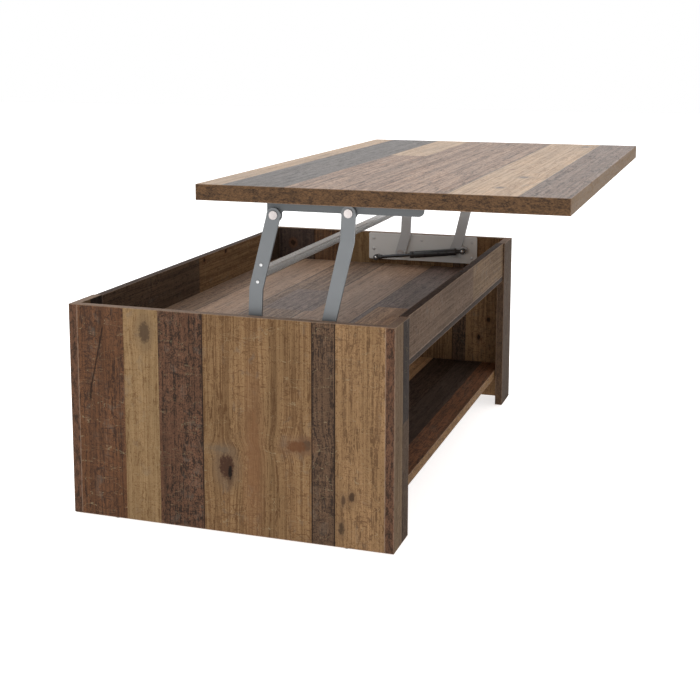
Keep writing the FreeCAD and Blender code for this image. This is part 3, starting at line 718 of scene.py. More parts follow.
    @staticmethod
    def _rim(shader: Shader, longest: Axis, tone: Tone, place: list[Field], blots: Field) -> Field:
        """Colour the band on the rim faces that look along one axis.

        Args:
            shader: The material under making.
            longest: The axis that the band and its grain run along.
            tone: The band's tone.
            place: The point's three object coordinates.
            blots: Noise of the board's own dirt.

        Returns:
            The band's colour.
        """
        wood = tone.value
        spread = [part * (RIM_ALONG if axis is longest else RIM_ACROSS) for axis, part in zip(Axis, place)]
        band = shader.noise(shader.joined(*spread), 5.0, 0.7, 0.4)
        fine = shader.noise(shader.joined(*(part * RIM_FINER for part in spread)), 4.0, 0.65)
        dark = shader.smooth(band, 0.40, 0.66) * wood.dirt * 0.8
        dark = dark + shader.smooth(fine, 0.44, 0.58) * wood.streaks
        colour = shader.mix(dark, wood.base, wood.grain)
        return shader.scaled(colour, 0.75 + blots * 0.5)

    @staticmethod
    def _border(shader: Shader, low: Vector, high: Vector, place: list[Field]) -> Field:
        """Return the distance from a point on the board's surface to the nearest edge of its box, in metres.

        Args:
            shader: The material under making.
            low: Lowest corner of the board.
            high: Highest corner of the board.
            place: The point's three object coordinates.

        Returns:
            The distance.
        """
        gaps = []
        for axis in Axis:
            middle, half = (low[axis] + high[axis]) / 2.0, (high[axis] - low[axis]) / 2.0
            gaps.append(half - abs(place[axis] - middle))
        pairs = [shader.maths("MAXIMUM", gaps[a], gaps[b]) for a, b in ((0, 1), (1, 2), (0, 2))]
        nearest = shader.maths("MINIMUM", pairs[0], pairs[1])
        return shader.maths("MINIMUM", nearest, pairs[2])


# ---- plain finishes -------------------------------------------------------------------------------

RUBBED_MARKS = (900.0, 60.0, 240.0)
PEEL_DEPTH = 0.0002


@dataclass(frozen=True)
class Finish:
    """A paint, metal or plastic with its own fine unevenness."""

    name: str
    colour: Colour
    shade: Colour
    roughness: float
    metallic: float
    mottle: float = 120.0
    peel: float = 1400.0
    bump: float = 0.12
    stretch: tuple[float, float, float] = (1.0, 1.0, 1.0)

    def material(self) -> bpy.types.Material:
        """Make the finish, or return it if it is made already.

        Returns:
            The material.
        """
        known = bpy.data.materials.get(self.name)
        if known is not None:
            return known
        shader = Shader(bpy.data.materials.new(self.name))
        place = [part * scale for part, scale in zip(shader.axes("Object"), self.stretch)]
        cloud = shader.noise(shader.joined(*(part * self.mottle for part in place)), 4.0, 0.6)
        peel = shader.noise(shader.joined(*(part * self.peel for part in place)), 2.0, 0.5)
        marks = [part * rate for part, rate in zip(place, RUBBED_MARKS)]
        scratch = shader.noise(shader.joined(*marks), 2.0, 0.5)
        rubbed = shader.smooth(scratch, 0.60, 0.68)
        blend = cloud * 0.6 + (peel - 0.5) * 0.35
        colour = shader.mix(blend, self.colour, self.shade)
        rough = self.roughness + (cloud - 0.5) * 0.10 - rubbed * 0.04
        normal = shader.bumped(peel + cloud * 0.6 - rubbed * 0.4, self.bump, PEEL_DEPTH)
        sockets = {"Base Color": colour, "Roughness": rough, "Metallic": self.metallic, "Normal": normal}
        return shader.finish(shader.surface(sockets))


ARM_PAINT = Finish("arm_grey_paint", (0.136, 0.144, 0.150), (0.118, 0.125, 0.131),
                   0.42, 0.25, 40.0, bump=0.05)
# A lighter copy of the arm grey for the far arms: painted light, standing in for light that reaches them
# under the top.
FAR_ARM_LIT_PAINT = Finish("far_arm_painted_light_grey", (0.480, 0.485, 0.490), (0.430, 0.436, 0.441),
                    0.36, 0.20, 40.0, bump=0.05)
# A darker copy of the arm grey for the brackets: painted shade, for the shade under the top.
BRACKET_SHADED_PAINT = Finish("bracket_painted_shade_grey", (0.078, 0.085, 0.089), (0.066, 0.073, 0.077),
                       0.48, 0.20, 40.0, bump=0.05)
# A lighter grey for the tie bar than for the arms: painted light, standing in for the bright light along its
# top.
BAR_LIT_PAINT = Finish("bar_painted_light_grey", (0.600, 0.596, 0.585), (0.520, 0.516, 0.508),
                   0.30, 0.60, 40.0, bump=0.05)
# A much lighter grey for the base plates than for the arms: painted light, for the light that the top keeps
# off them.
PLATE_LIT_PAINT = Finish("plate_painted_light_grey", (0.700, 0.698, 0.680), (0.640, 0.638, 0.622),
                     0.40, 0.10, 40.0, bump=0.05)
RIVET_STEEL = Finish("rivet_steel", (0.480, 0.440, 0.428), (0.360, 0.330, 0.320), 0.36, 0.75, 300.0)
SCREW_STEEL = Finish("screw_steel", (0.170, 0.166, 0.160), (0.110, 0.106, 0.102), 0.42, 0.45, 500.0)
BALL_CHROME = Finish("ball_chrome", (0.820, 0.820, 0.820), (0.700, 0.700, 0.700),
                     0.12, 1.00, 500.0, bump=0.03)
SPRING_BLACK = Finish("spring_black_paint", (0.020, 0.020, 0.021), (0.034, 0.034, 0.036),
                      0.30, 0.0, 200.0)
ROD_BLACK = Finish("rod_dark_chrome", (0.060, 0.060, 0.064), (0.035, 0.035, 0.038), 0.22, 0.85, 300.0)
SOCKET_PLASTIC = Finish("socket_black_plastic", (0.028, 0.028, 0.028), (0.045, 0.045, 0.045), 0.50, 0.0)
CAM_ZINC = Finish("cam_zinc", (0.500, 0.490, 0.470), (0.340, 0.335, 0.325), 0.40, 0.85, 300.0)
GLIDE_PLASTIC = Finish("glide_brown_plastic", (0.070, 0.052, 0.040), (0.045, 0.034, 0.027), 0.55, 0.0)
DOWEL_WOOD = Finish("dowel_beech", (0.560, 0.400, 0.240), (0.430, 0.290, 0.160),
                    0.60, 0.0, 60.0, stretch=(1.0, 1.0, 9.0))


# ---- helpers for meshes ---------------------------------------------------------------------------

SMOOTH_BELOW = 35.0


def put_on(node: str, material: bpy.types.Material) -> None:
    """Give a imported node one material.

    Args:
        node: The node's name.
        material: Its material.
    """
    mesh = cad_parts[node].data
    mesh.materials.clear()
    mesh.materials.append(material)
    LOG.info("dressed %s", node)


def loose_boxes(node: str) -> list[tuple[Vector, Vector]]:
    """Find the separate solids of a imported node.

    Args:
        node: The node's name.

    Returns:
        The lowest and highest corner of each solid, in order along X, Y and Z.
    """
    work = bmesh.new()
    work.from_mesh(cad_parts[node].data)
    bmesh.ops.remove_doubles(work, verts=work.verts, dist=1e-6)
    left = set(work.verts)
    boxes = []
    while left:
        group, wave = set(), [next(iter(left))]
        while wave:
            vert = wave.pop()
            if vert in group:
                continue
            group.add(vert)
            wave.extend(edge.other_vert(vert) for edge in vert.link_edges)
        left -= group
        corners = [tuple(choose(vert.co[axis] for vert in group) for axis in Axis) for choose in (min, max)]
        boxes.append((Vector(corners[0]), Vector(corners[1])))
    work.free()
    return sorted(boxes, key=lambda box: tuple(round(part, 4) for part in box[0]))


def turned(outline: list[tuple[float, float]], steps: int = 32) -> bmesh.types.BMesh:
    """Turn an outline about the Z axis, as on a lathe.

    Args:
        outline: Radius and height of each corner, in millimetres; a loop if its ends stand off the axis.
        steps: Number of flats round the axis.

    Returns:
        The closed shape, in metres.
    """
    work = bmesh.new()
    verts = [work.verts.new((radius * MM, 0.0, height * MM)) for radius, height in outline]
    pairs = list(zip(verts, verts[1:]))
    if outline[0][0] > 0.0:
        pairs.append((verts[-1], verts[0]))
    edges = [work.edges.new(pair) for pair in pairs]
    bmesh.ops.spin(work, geom=[*verts, *edges], cent=(0, 0, 0), axis=(0, 0, 1), angle=math.tau,
                   steps=steps, use_merge=True)
    bmesh.ops.remove_doubles(work, verts=work.verts, dist=1e-7)
    bmesh.ops.recalc_face_normals(work, faces=work.faces)
    return work


def cross_recess(work: bmesh.types.BMesh, radius: float, top: float, depth: float) -> None:
    """Sink a cross into the flat top of a turned head.

    Args:
        work: The head, turned in a multiple of eight steps about Z.
        radius: Radius of the ring of faces that the cross reaches, in millimetres.
        top: Height of the flat top, in millimetres.
        depth: Depth of the cross, in millimetres.
    """
    chosen = []
    for face in work.faces:
        centre = face.calc_center_median()
        if abs(centre.z - top * MM) > 1e-5 or face.normal.z < 0.9 or centre.xy.length > radius * MM:
            continue
        turn = math.degrees(math.atan2(centre.y, centre.x)) % 90.0
        if len(face.verts) == 3 or min(turn, 90.0 - turn) < 360.0 / 16:
            chosen.append(face)
    sunk = bmesh.ops.extrude_face_region(work, geom=chosen)
    moved = [part for part in sunk["geom"] if isinstance(part, bmesh.types.BMVert)]
    bmesh.ops.delete(work, geom=chosen, context="FACES_ONLY")
    bmesh.ops.translate(work, verts=moved, vec=(0.0, 0.0, -depth * MM))
    bmesh.ops.recalc_face_normals(work, faces=work.faces)


def set_down(work: bmesh.types.BMesh, place: Vector, way: Vector, into: bmesh.types.BMesh) -> None:
    """Move a shape made about Z to its place and add it to a piece.

    Args:
        work: The shape, which is freed.
        place: Where its origin goes, in metres.
        way: The direction that its Z axis takes.
        into: The piece that it joins.
    """
    turn = Vector((0.0, 0.0, 1.0)).rotation_difference(way).to_matrix().to_4x4()
    bmesh.ops.transform(work, matrix=Matrix.Translation(place) @ turn, verts=work.verts)
    mesh = bpy.data.meshes.new("passing")
    work.to_mesh(mesh)
    work.free()
    into.from_mesh(mesh)
    bpy.data.meshes.remove(mesh)


def make_piece(name: str, work: bmesh.types.BMesh, finish: Finish, body: str, slot: str,
               *nodes: str) -> None:
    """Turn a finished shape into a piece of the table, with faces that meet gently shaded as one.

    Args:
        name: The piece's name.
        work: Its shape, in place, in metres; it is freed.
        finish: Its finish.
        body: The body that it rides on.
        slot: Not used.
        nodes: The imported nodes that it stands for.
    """
    limit = math.radians(SMOOTH_BELOW)
    for edge in work.edges:
        edge.smooth = len(edge.link_faces) == 2 and edge.calc_face_angle(math.pi) < limit
    for face in work.faces:
        face.smooth = True
    mesh = bpy.data.meshes.new(name)
    work.to_mesh(mesh)
    work.free()
    mesh.materials.append(finish.material())
    piece = bpy.data.objects.new(name, mesh)
    bpy.context.scene.collection.objects.link(piece)
    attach(piece, body)
    if nodes:
        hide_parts(*nodes)
    LOG.info("made %s, %d faces, on %s", name, len(mesh.polygons), body)


# ---- sub-assemblies -------------------------------------------------------------------------------


@dataclass
class WoodenCase:
    """The fixed case: end panels, legs, rails, tray floor, lower shelf and their joinery."""

    leg_outer_strip: float = 52.0
    leg_inner_strip: float = 41.0

    def build(self) -> None:
        """Dress every board of the case."""
        for decor in (*self.end_panels(), *self.legs(), *self.rails(), self.tray_floor(), self.shelf()):
            decor.dress()
        for node in ("leg_dowels", "rail_dowels", "tray_floor_dowels"):
            put_on(node, DOWEL_WOOD.material())

    def end_panels(self) -> list[PlankDecor]:
        """Lay out the planks of the two end panels.

        Returns:
            Their decors.
        """
        rims = ((Axis.Z, Tone.PALE_RIM),)
        left_rows = ((92.0, Tone.HONEY), (42.9, Tone.WEATHERED), (211.4, Tone.PINE), (89.5, Tone.DARK),
                     (70.6, Tone.TAN), (97.6, Tone.REDDISH))
        left_knots = (
            Knot(464.0, 365.0, 12.0, 21.0, (0.050, 0.032, 0.022), (0.130, 0.086, 0.050), 0.75),
            Knot(302.0, 127.0, 15.0, 24.0, (0.048, 0.024, 0.016), (0.120, 0.080, 0.052), 0.95),
            Knot(295.0, 116.0, 4.0, 14.0, (0.010, 0.008, 0.007), (0.048, 0.026, 0.016), 0.90),
            Knot(316.0, 158.0, 20.0, 6.0, (0.100, 0.080, 0.060), (0.140, 0.105, 0.070), 0.35),
            Knot(146.0, 182.0, 9.0, 10.0, (0.018, 0.012, 0.010), (0.090, 0.042, 0.024), 0.95),
            Knot(165.0, 178.0, 20.0, 11.0, (0.105, 0.046, 0.022), (0.145, 0.085, 0.050), 0.85),
            Knot(248.0, 150.0, 13.0, 90.0, (0.150, 0.074, 0.036), (0.185, 0.098, 0.050), 0.55),
            Knot(61.0, 95.0, 6.0, 9.0, (0.040, 0.024, 0.016), (0.130, 0.076, 0.042), 0.85),
            Knot(77.0, 87.0, 4.0, 11.0, (0.050, 0.030, 0.020), (0.150, 0.092, 0.052), 0.80),
            Knot(80.0, 35.0, 6.0, 11.0, (0.050, 0.032, 0.020), (0.150, 0.092, 0.052), 0.85),
        )
        left_splits = (Split((549.0, 375.0), (582.0, 232.0), 2.4), Split((577.0, 262.0), (580.0, 226.0), 3.4),
                       Split((536.0, 200.0), (533.0, 238.0), 1.6))
        left = PlankDecor("end_panel_left", Axis.Y, Axis.Z, left_rows, rims, left_knots, left_splits,
                          strength=0.95)
        right_rows = ((93.0, Tone.HONEY), (34.0, Tone.WEATHERED), (226.0, Tone.PINE), (78.0, Tone.TAN),
                      (74.0, Tone.BROWN), (99.0, Tone.SLATE))
        right_knots = (Knot(565.0, 369.0, 7.0, 8.0), Knot(36.0, 197.0, 5.0, 6.0), Knot(60.0, 150.0, 4.0, 7.0),
                       Knot(230.0, 120.0, 10.0, 18.0), Knot(392.0, 240.0, 8.0, 15.0))
        right = PlankDecor("end_panel_right", Axis.Y, Axis.Z, right_rows, rims, right_knots, seed=4.0)
        return [left, right]

    def legs(self) -> list[PlankDecor]:
        """Lay out the strips of the four legs.

        Returns:
            Their decors.
        """
        made = []
        rims = ((Axis.X, Tone.DARK), (Axis.Z, Tone.PALE_RIM))
        pair = ((self.leg_outer_strip, Tone.GREY_TAN), (self.leg_inner_strip, Tone.CHAR))
        inner_edge = self.leg_outer_strip + self.leg_inner_strip
        low_end = Patch((self.leg_outer_strip, inner_edge), (0.0, 222.0), Tone.UMBER)
        made.append(PlankDecor("leg_front_left", Axis.X, Axis.Z, pair, rims, patches=(low_end,),
                               strength=0.80))
        made.append(PlankDecor("leg_back_left", Axis.X, Axis.Z, pair, rims, seed=2.0, strength=0.80))
        far = ((self.leg_inner_strip, Tone.CLAY), (self.leg_outer_strip, Tone.CLAY))
        far_rims = ((Axis.X, Tone.UMBER), (Axis.Z, Tone.PALE_RIM))
        made.append(PlankDecor("leg_front_right", Axis.X, Axis.Z, far, far_rims, seed=5.0, joint_width=0.6,
                               strength=0.46))
        made.append(PlankDecor("leg_back_right", Axis.X, Axis.Z, far, far_rims, seed=7.0, joint_width=0.6,
                               strength=0.46))
        return made

    def rails(self) -> list[PlankDecor]:
        """Lay out the planks of the front and back rail.

        Returns:
            Their decors.
        """
        low, high = (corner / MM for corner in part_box("rail_back"))
        length, height = high.x - low.x, high.z - low.z
        rims = ((Axis.Z, Tone.SLATE), (Axis.X, Tone.SLATE))
        far_plank = Patch((-1.0, height + 1.0), (0.62 * length, length + 1.0), Tone.GREY_TAN)
        front = PlankDecor("rail_front", Axis.Z, Axis.X, ((height, Tone.CLAY),), rims, seed=11.0,
                           strength=0.76, patches=(far_plank,))
        knots = (Knot(72.0, 471.0, 5.0, 6.0), Knot(74.0, 593.0, 5.0, 6.0))
        back = PlankDecor("rail_back", Axis.Z, Axis.X, ((height, Tone.UMBER),), rims, knots, seed=13.0,
                          patches=(Patch((-1.0, height + 1.0), (444.0, length + 1.0), Tone.PINE),))
        return [front, back]

    def tray_floor(self) -> PlankDecor:
        """Lay out the planks of the tray floor.

        Returns:
            Its decor.
        """
        rows = ((94.0, Tone.BROWN), (90.0, Tone.SLATE), (121.0, Tone.CLAY), (112.0, Tone.UMBER),
                (98.0, Tone.CLAY), (82.0, Tone.UMBER))
        light = Patch((94.0, 184.0), (-1.0, 508.0), Tone.AMBER)
        dark = Patch((305.0, 417.0), (420.0, 640.0), Tone.SLATE)
        rims = ((Axis.Y, Tone.CHAR), (Axis.X, Tone.CHAR))
        # strength=2.15 brightens the tray floor as painted light, for the light that the rails and the top
        # keep off it.
        return PlankDecor("tray_floor", Axis.Y, Axis.X, rows, rims, patches=(light, dark), seed=17.0,
                          lacquer=0.24, strength=2.15, stretch=2.2, relief=0.04)

    def shelf(self) -> PlankDecor:
        """Lay out the planks of the lower shelf.

        Returns:
            Its decor.
        """
        rows = ((45.0, Tone.REDDISH), (62.0, Tone.CHAR), (67.0, Tone.SOOT), (110.0, Tone.STRAW),
                (120.0, Tone.AMBER), (90.0, Tone.UMBER), (104.0, Tone.BROWN))
        rims = ((Axis.Y, Tone.AMBER),)
        # strength=1.75 brightens the shelf as painted light, for the light that the tray above keeps off it.
        return PlankDecor("lower_shelf", Axis.Y, Axis.X, rows, rims, seed=23.0, lacquer=0.15,
                          strength=1.75, stretch=3.0, relief=0.05, grime=1.4)


@dataclass
class LiftTop:
    """The top board that rises and comes forward."""

    near_band: Tone = Tone.RUST
    front_band: Tone = Tone.GREY_TAN

    def build(self) -> None:
        """Dress the top board."""
        rows = ((82.0, Tone.MAROON), (122.0, Tone.STRAW), (104.0, Tone.CHESTNUT), (103.0, Tone.CHESTNUT),
                (82.0, Tone.CHESTNUT), (115.0, Tone.SOOT), (52.0, Tone.STRAW))
        short = Patch((411.0, 493.0), (663.0, 1101.0), Tone.STRAW)
        faded = ((0.10, 0.06, 0.04), (0.22, 0.14, 0.08))
        knots = (Knot(129.0, 295.0, 9.0, 15.0, *faded), Knot(139.0, 115.0, 7.0, 13.0, *faded),
                 Knot(112.0, 1023.0, 10.0, 20.0, *faded),
                 Knot(176.0, 430.0, 5.0, 9.0, (0.16, 0.07, 0.04), (0.30, 0.18, 0.10)))
        rims = ((Axis.X, self.near_band), (Axis.Y, self.front_band))
        decor = PlankDecor("table_top", Axis.Y, Axis.X, rows, rims, knots, patches=(short,), seed=29.0,
                           roughness=0.36, lacquer=0.36, strength=1.28, joint_width=1.4,
                           stretch=2.2, relief=0.02, grime=0.55)
        decor.dress()


@dataclass
class Steelwork:
    """The painted arms, brackets, plates and tie bar; the far arms, the plates and the bar take lighter greys
    than the near arms as painted light, and the brackets a darker grey as painted shade.
    """

    arm: Finish = ARM_PAINT
    bracket: Finish = BRACKET_SHADED_PAINT
    plate: Finish = PLATE_LIT_PAINT
    bar: Finish = BAR_LIT_PAINT
    far_arm: Finish = FAR_ARM_LIT_PAINT

    def build(self) -> None:
        """Paint the steelwork of both sides."""
        put_on("tie_bar", self.bar.material())
        for side in Side:
            # The far arms take the lighter copy of the arm grey, which is painted light.
            arm = self.arm if side is Side.LEFT else self.far_arm
            for stem, finish in (("rear_arm", arm), ("front_arm", arm), ("top_bracket", self.bracket),
                                 ("base_plate", self.plate), ("plate_stud", RIVET_STEEL),
                                 ("arm_stud", RIVET_STEEL)):
                put_on(f"{stem}_{side.word}", finish.material())


@dataclass
class Fasteners:
    """Screws with crossed heads, and the riveted pivot pins."""

    steps: int = 32
    recess_share: float = 0.55
    recess_depth: float = 0.55
    shank_share: float = 0.5
    root_share: float = 0.74
    head_share: float = 0.42
    thread_pitch: float = 1.4
    pin_chamfer: float = 0.4
    pin_dish: float = 0.12

    def build(self) -> None:
        """Replace the plain screws and pins."""
        for side in Side:
            inwards = Vector((side.inwards, 0.0, 0.0))
            self.screws(f"base_plate_screws_{side.word}", "case", inwards)
            self.screws(f"tie_bar_screws_{side.word}", "rear_arms", -inwards)
            self.screws(f"top_bracket_screws_{side.word}", "top", Vector((0.0, 0.0, -1.0)))
            self.pins(f"low_pivot_pins_{side.word}", "case", -inwards)
            self.pins(f"high_pivot_pins_{side.word}", "top", -inwards)
        self.screws("tray_floor_screws", "case", Vector((0.0, 0.0, -1.0)))

    def screws(self, node: str, body: str, head_way: Vector) -> None:
        """Replace one node's screws.

        Args:
            node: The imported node.
            body: The body that it rides on.
            head_way: The direction from the tip to the head.
        """
        piece = bmesh.new()
        axis = max(Axis, key=lambda one: abs(head_way[one]))
        across = Axis((axis + 1) % 3)
        for low, high in loose_boxes(node):
            middle = (low + high) / 2.0
            length = (high[axis] - low[axis]) / MM
            head = (high[across] - low[across]) / 2.0 / MM
            tip = middle - head_way * (length / 2.0 * MM)
            set_down(self.screw(length, head), tip, head_way, piece)
        make_piece(f"{node}_fine", piece, SCREW_STEEL, body, "screw_steel", node)

    def screw(self, length: float, head: float) -> bmesh.types.BMesh:
        """Make a screw with a domed head, a crossed recess and a threaded shank, its tip at the origin.

        Args:
            length: Overall length, in millimetres.
            head: Radius of the head, in millimetres.

        Returns:
            The shape.
        """
        shank, thick = head * self.shank_share, head * self.head_share
        flat = head * self.recess_share
        pitch = self.thread_pitch
        outline = [(0.0, 0.0), (shank * 0.3, 0.6)]
        height = 1.6
        while height < length - thick - pitch:
            outline += [(shank * self.root_share, height - pitch * 0.5), (shank, height)]
            height += pitch
        outline += [(shank * self.root_share, height - pitch * 0.5), (shank * 0.8, length - thick)]
        outline += [(head * 0.96, length - thick), (head, length - thick * 0.8)]
        for part in (0.25, 0.5, 0.75):
            turn = part * math.pi / 2.0
            height = length - thick * 0.8 * (1.0 - math.sin(turn))
            outline.append((flat + (head - flat) * math.cos(turn), height))
        outline += [(flat, length), (flat * 0.35, length), (0.0, length)]
        made = turned(outline, 16)
        cross_recess(made, flat, length, min(self.recess_depth, thick * 0.6))
        return made

    def pins(self, node: str, body: str, head_way: Vector) -> None:
        """Replace one node's pivot pins.

        Args:
            node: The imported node.
            body: The body that it rides on.
            head_way: The direction from the tail to the wide head.
        """
        piece = bmesh.new()
        for low, high in loose_boxes(node):
            middle = (low + high) / 2.0
            tail = middle - head_way * ((high.x - low.x) / 2.0)
            set_down(self.pin(self.sections(node, tail, high.x - low.x, head_way)), tail, head_way, piece)
        make_piece(f"{node}_fine", piece, RIVET_STEEL, body, "pin_steel", node)

    @staticmethod
    def sections(node: str, tail: Vector, length: float, head_way: Vector) -> list[tuple[float, float]]:
        """Read a pin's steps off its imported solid.

        Args:
            node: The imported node.
            tail: The middle of the pin's tail end.
            length: The pin's length, in metres.
            head_way: The direction from the tail to the head.

        Returns:
            The height at which each step ends and its radius, from the tail, in millimetres.
        """
        levels: dict[float, set[float]] = {}
        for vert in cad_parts[node].data.vertices:
            away = Vector(vert.co) - tail
            height = away.dot(head_way)
            radius = (away - head_way * height).length
            if -1e-5 <= height <= length + 1e-5 and radius < length * 1.5:
                levels.setdefault(round(height / MM, 2), set()).add(round(radius / MM, 1))
        heights = sorted(levels)
        steps = zip(heights, heights[1:])
        return [(high, max((levels[low] & levels[high]) or levels[high])) for low, high in steps]

    def pin(self, steps: list[tuple[float, float]]) -> bmesh.types.BMesh:
        """Make a riveted pin with its washer, its tail at the origin.

        Args:
            steps: The height at which each step ends and its radius, from the tail, in millimetres.

        Returns:
            The shape.
        """
        outline = [(0.0, 0.0)]
        floor = 0.0
        for height, radius in steps:
            outline += [(radius, floor), (radius, height)]
            floor = height
        outline.append((0.0, floor))
        made = turned(outline, self.steps)
        ends = [face for face in made.faces if abs(face.normal.z) > 0.9 and len(face.verts) == 3]
        bmesh.ops.inset_region(made, faces=ends, thickness=self.pin_chamfer * 3.0 * MM,
                               depth=-self.pin_dish * MM)
        sharp = [edge for edge in made.edges if len(edge.link_faces) == 2 and edge.is_convex
                 and edge.calc_face_angle() > math.radians(60.0)]
        bmesh.ops.bevel(made, geom=sharp, offset=self.pin_chamfer * MM, affect="EDGES", segments=2,
                        profile=0.5, material=-1)
        return made


@dataclass
class GasSpring:
    """A gas spring from the front arm's lobe to the base plate, with its ball joints."""

    side: Side
    cylinder: float = 9.0
    wall: float = 1.5
    rod: float = 4.0
    socket_length: float = 16.0
    socket: float = 7.0
    ball: float = 4.5
    proud: float = 2.0
    end_wall: float = 4.0
    guide: float = 8.0
    clearance: float = 0.2
    cylinder_length: float = 122.0

    def build(self) -> None:
        """Replace the spring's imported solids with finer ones."""
        word = self.side.word
        first = self.middle(f"cylinder_ball_{word}")
        last = self.middle(f"rod_ball_{word}")
        inward = Vector((self.side.inwards, 0.0, 0.0))
        way = (last - first).normalized()
        sunk = inward * (self.proud * MM)
        start, end = first - sunk, last - sunk
        span = (end - start).length / MM
        cylinder_body, rod_body = f"gas_cylinder_{word}", f"gas_rod_{word}"

        piece = bmesh.new()
        set_down(self.tube(), start, way, piece)
        make_piece(f"gas_cylinder_{word}_fine", piece, SPRING_BLACK, cylinder_body, "spring_black",
                   f"gas_cylinder_{word}")
        piece = bmesh.new()
        set_down(self.piston_rod(span), start, way, piece)
        make_piece(f"gas_rod_{word}_fine", piece, ROD_BLACK, rod_body, "spring_black", f"gas_rod_{word}")
        for name, place, out, body in (("cylinder", start, way, cylinder_body), ("rod", end, -way, rod_body)):
            piece = bmesh.new()
            set_down(self.cup(), place - inward * (self.socket * MM), inward, piece)
            set_down(self.neck(), place, out, piece)
            make_piece(f"{name}_socket_{word}_fine", piece, SOCKET_PLASTIC, body, "spring_black",
                       f"{name}_socket_{word}")
            piece = bmesh.new()
            set_down(self.ball_end(), place + sunk, inward, piece)
            make_piece(f"{name}_ball_{word}_fine", piece, BALL_CHROME, body, "ball_chrome",
                       f"{name}_ball_{word}")

    @staticmethod
    def middle(node: str) -> Vector:
        """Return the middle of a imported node's box."""
        low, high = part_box(node)
        return (low + high) / 2.0

    def tube(self) -> bmesh.types.BMesh:
        """Make the hollow cylinder with rounded shoulders and a rolled groove at its mouth.

        Returns:
            The shape, its ball at the origin and its rod end up Z.
        """
        low, top = self.socket_length, self.socket_length + self.cylinder_length
        out, bore, mouth = self.cylinder, self.cylinder - self.wall, self.rod + self.clearance
        shoulder = [(0.0, low), (out - 2.4, low), (out - 1.0, low + 0.5), (out - 0.25, low + 1.4),
                    (out, low + 2.6)]
        groove = [(out, top - 14.0), (out - 0.3, top - 13.2), (out - 1.0, top - 12.4),
                  (out - 1.0, top - 11.6), (out - 0.3, top - 10.8), (out, top - 10.0)]
        lip = [(out, top - 2.2), (out - 0.4, top - 1.0), (out - 1.2, top - 0.3), (out - 2.2, top),
               (mouth + 1.2, top), (mouth, top - 0.8)]
        inside = [(mouth, top - self.guide), (bore, top - self.guide), (bore, low + self.end_wall),
                  (0.0, low + self.end_wall)]
        return turned([*shoulder, *groove, *lip, *inside], 48)

    def piston_rod(self, span: float) -> bmesh.types.BMesh:
        """Make the rod with its piston and its end collar.

        Args:
            span: Distance between the two ball joints, in millimetres.

        Returns:
            The shape, the cylinder's ball at the origin and the rod end up Z.
        """
        bore_end = self.socket_length + self.cylinder_length - self.guide
        piston_low, thick = bore_end - 10.0, 8.0
        bore = self.cylinder - self.wall - self.clearance
        end = span - self.socket_length
        rod = self.rod
        piston = [(0.0, piston_low), (bore - 0.6, piston_low), (bore, piston_low + 0.6)]
        seal = [(bore, piston_low + 3.2), (bore - 1.0, piston_low + 3.5),
                (bore - 1.0, piston_low + 4.5), (bore, piston_low + 4.8)]
        front = [(bore, piston_low + thick - 0.6), (bore - 0.6, piston_low + thick),
                 (rod, piston_low + thick)]
        collar = [(rod, end - 5.0), (rod - 0.5, end - 4.4), (rod - 0.5, end - 3.6), (rod, end - 3.0),
                  (rod, end), (0.0, end)]
        return turned([*piston, *seal, *front, *collar], 32)

    def cup(self) -> bmesh.types.BMesh:
        """Make the round cup that snaps over the ball, its closed back at the origin.

        Returns:
            The shape, its open side up Z.
        """
        tall, out = 2.0 * self.socket - self.proud, self.socket
        seat = self.ball + self.clearance
        centre = self.socket + self.proud
        outline = [(0.0, 0.0), (out - 1.2, 0.0), (out - 0.3, 0.35), (out, 1.2), (out, tall - 4.6),
                   (out - 0.55, tall - 4.3), (out - 0.55, tall - 3.1), (out, tall - 2.8), (out, tall - 0.8),
                   (out - 0.7, tall)]
        rim = math.acos(min(1.0, (tall - centre) / seat))
        for part in range(9):
            turn = rim + (math.pi - rim) * part / 8.0
            outline.append((seat * math.sin(turn), centre + seat * math.cos(turn)))
        outline[-1] = (0.0, outline[-1][1])
        return turned(outline, 32)

    def neck(self) -> bmesh.types.BMesh:
        """Make the six-sided neck between the cup and the tube or rod, the ball at the origin.

        Returns:
            The shape, running up Z.
        """
        out = self.socket - 1.5
        start, end = self.socket * 0.78, self.socket_length
        outline = [(0.0, start), (out - 0.8, start), (out - 0.4, start + 1.2), (out - 0.4, end - 6.0),
                   (out, end - 5.4), (out, end - 0.6), (out - 0.6, end), (0.0, end)]
        return turned(outline, 6)

    def ball_end(self) -> bmesh.types.BMesh:
        """Make the ball with the small flat and centre mark of its turning.

        Returns:
            The shape, its flat up Z.
        """
        outline = [(0.0, -self.ball)]
        for part in range(1, 12):
            turn = math.pi * part / 13.0
            outline.append((self.ball * math.sin(turn), -self.ball * math.cos(turn)))
        flat = outline[-1][1]
        outline += [(self.ball * 0.18, flat), (0.0, flat - 0.5)]
        return turned(outline, 32)


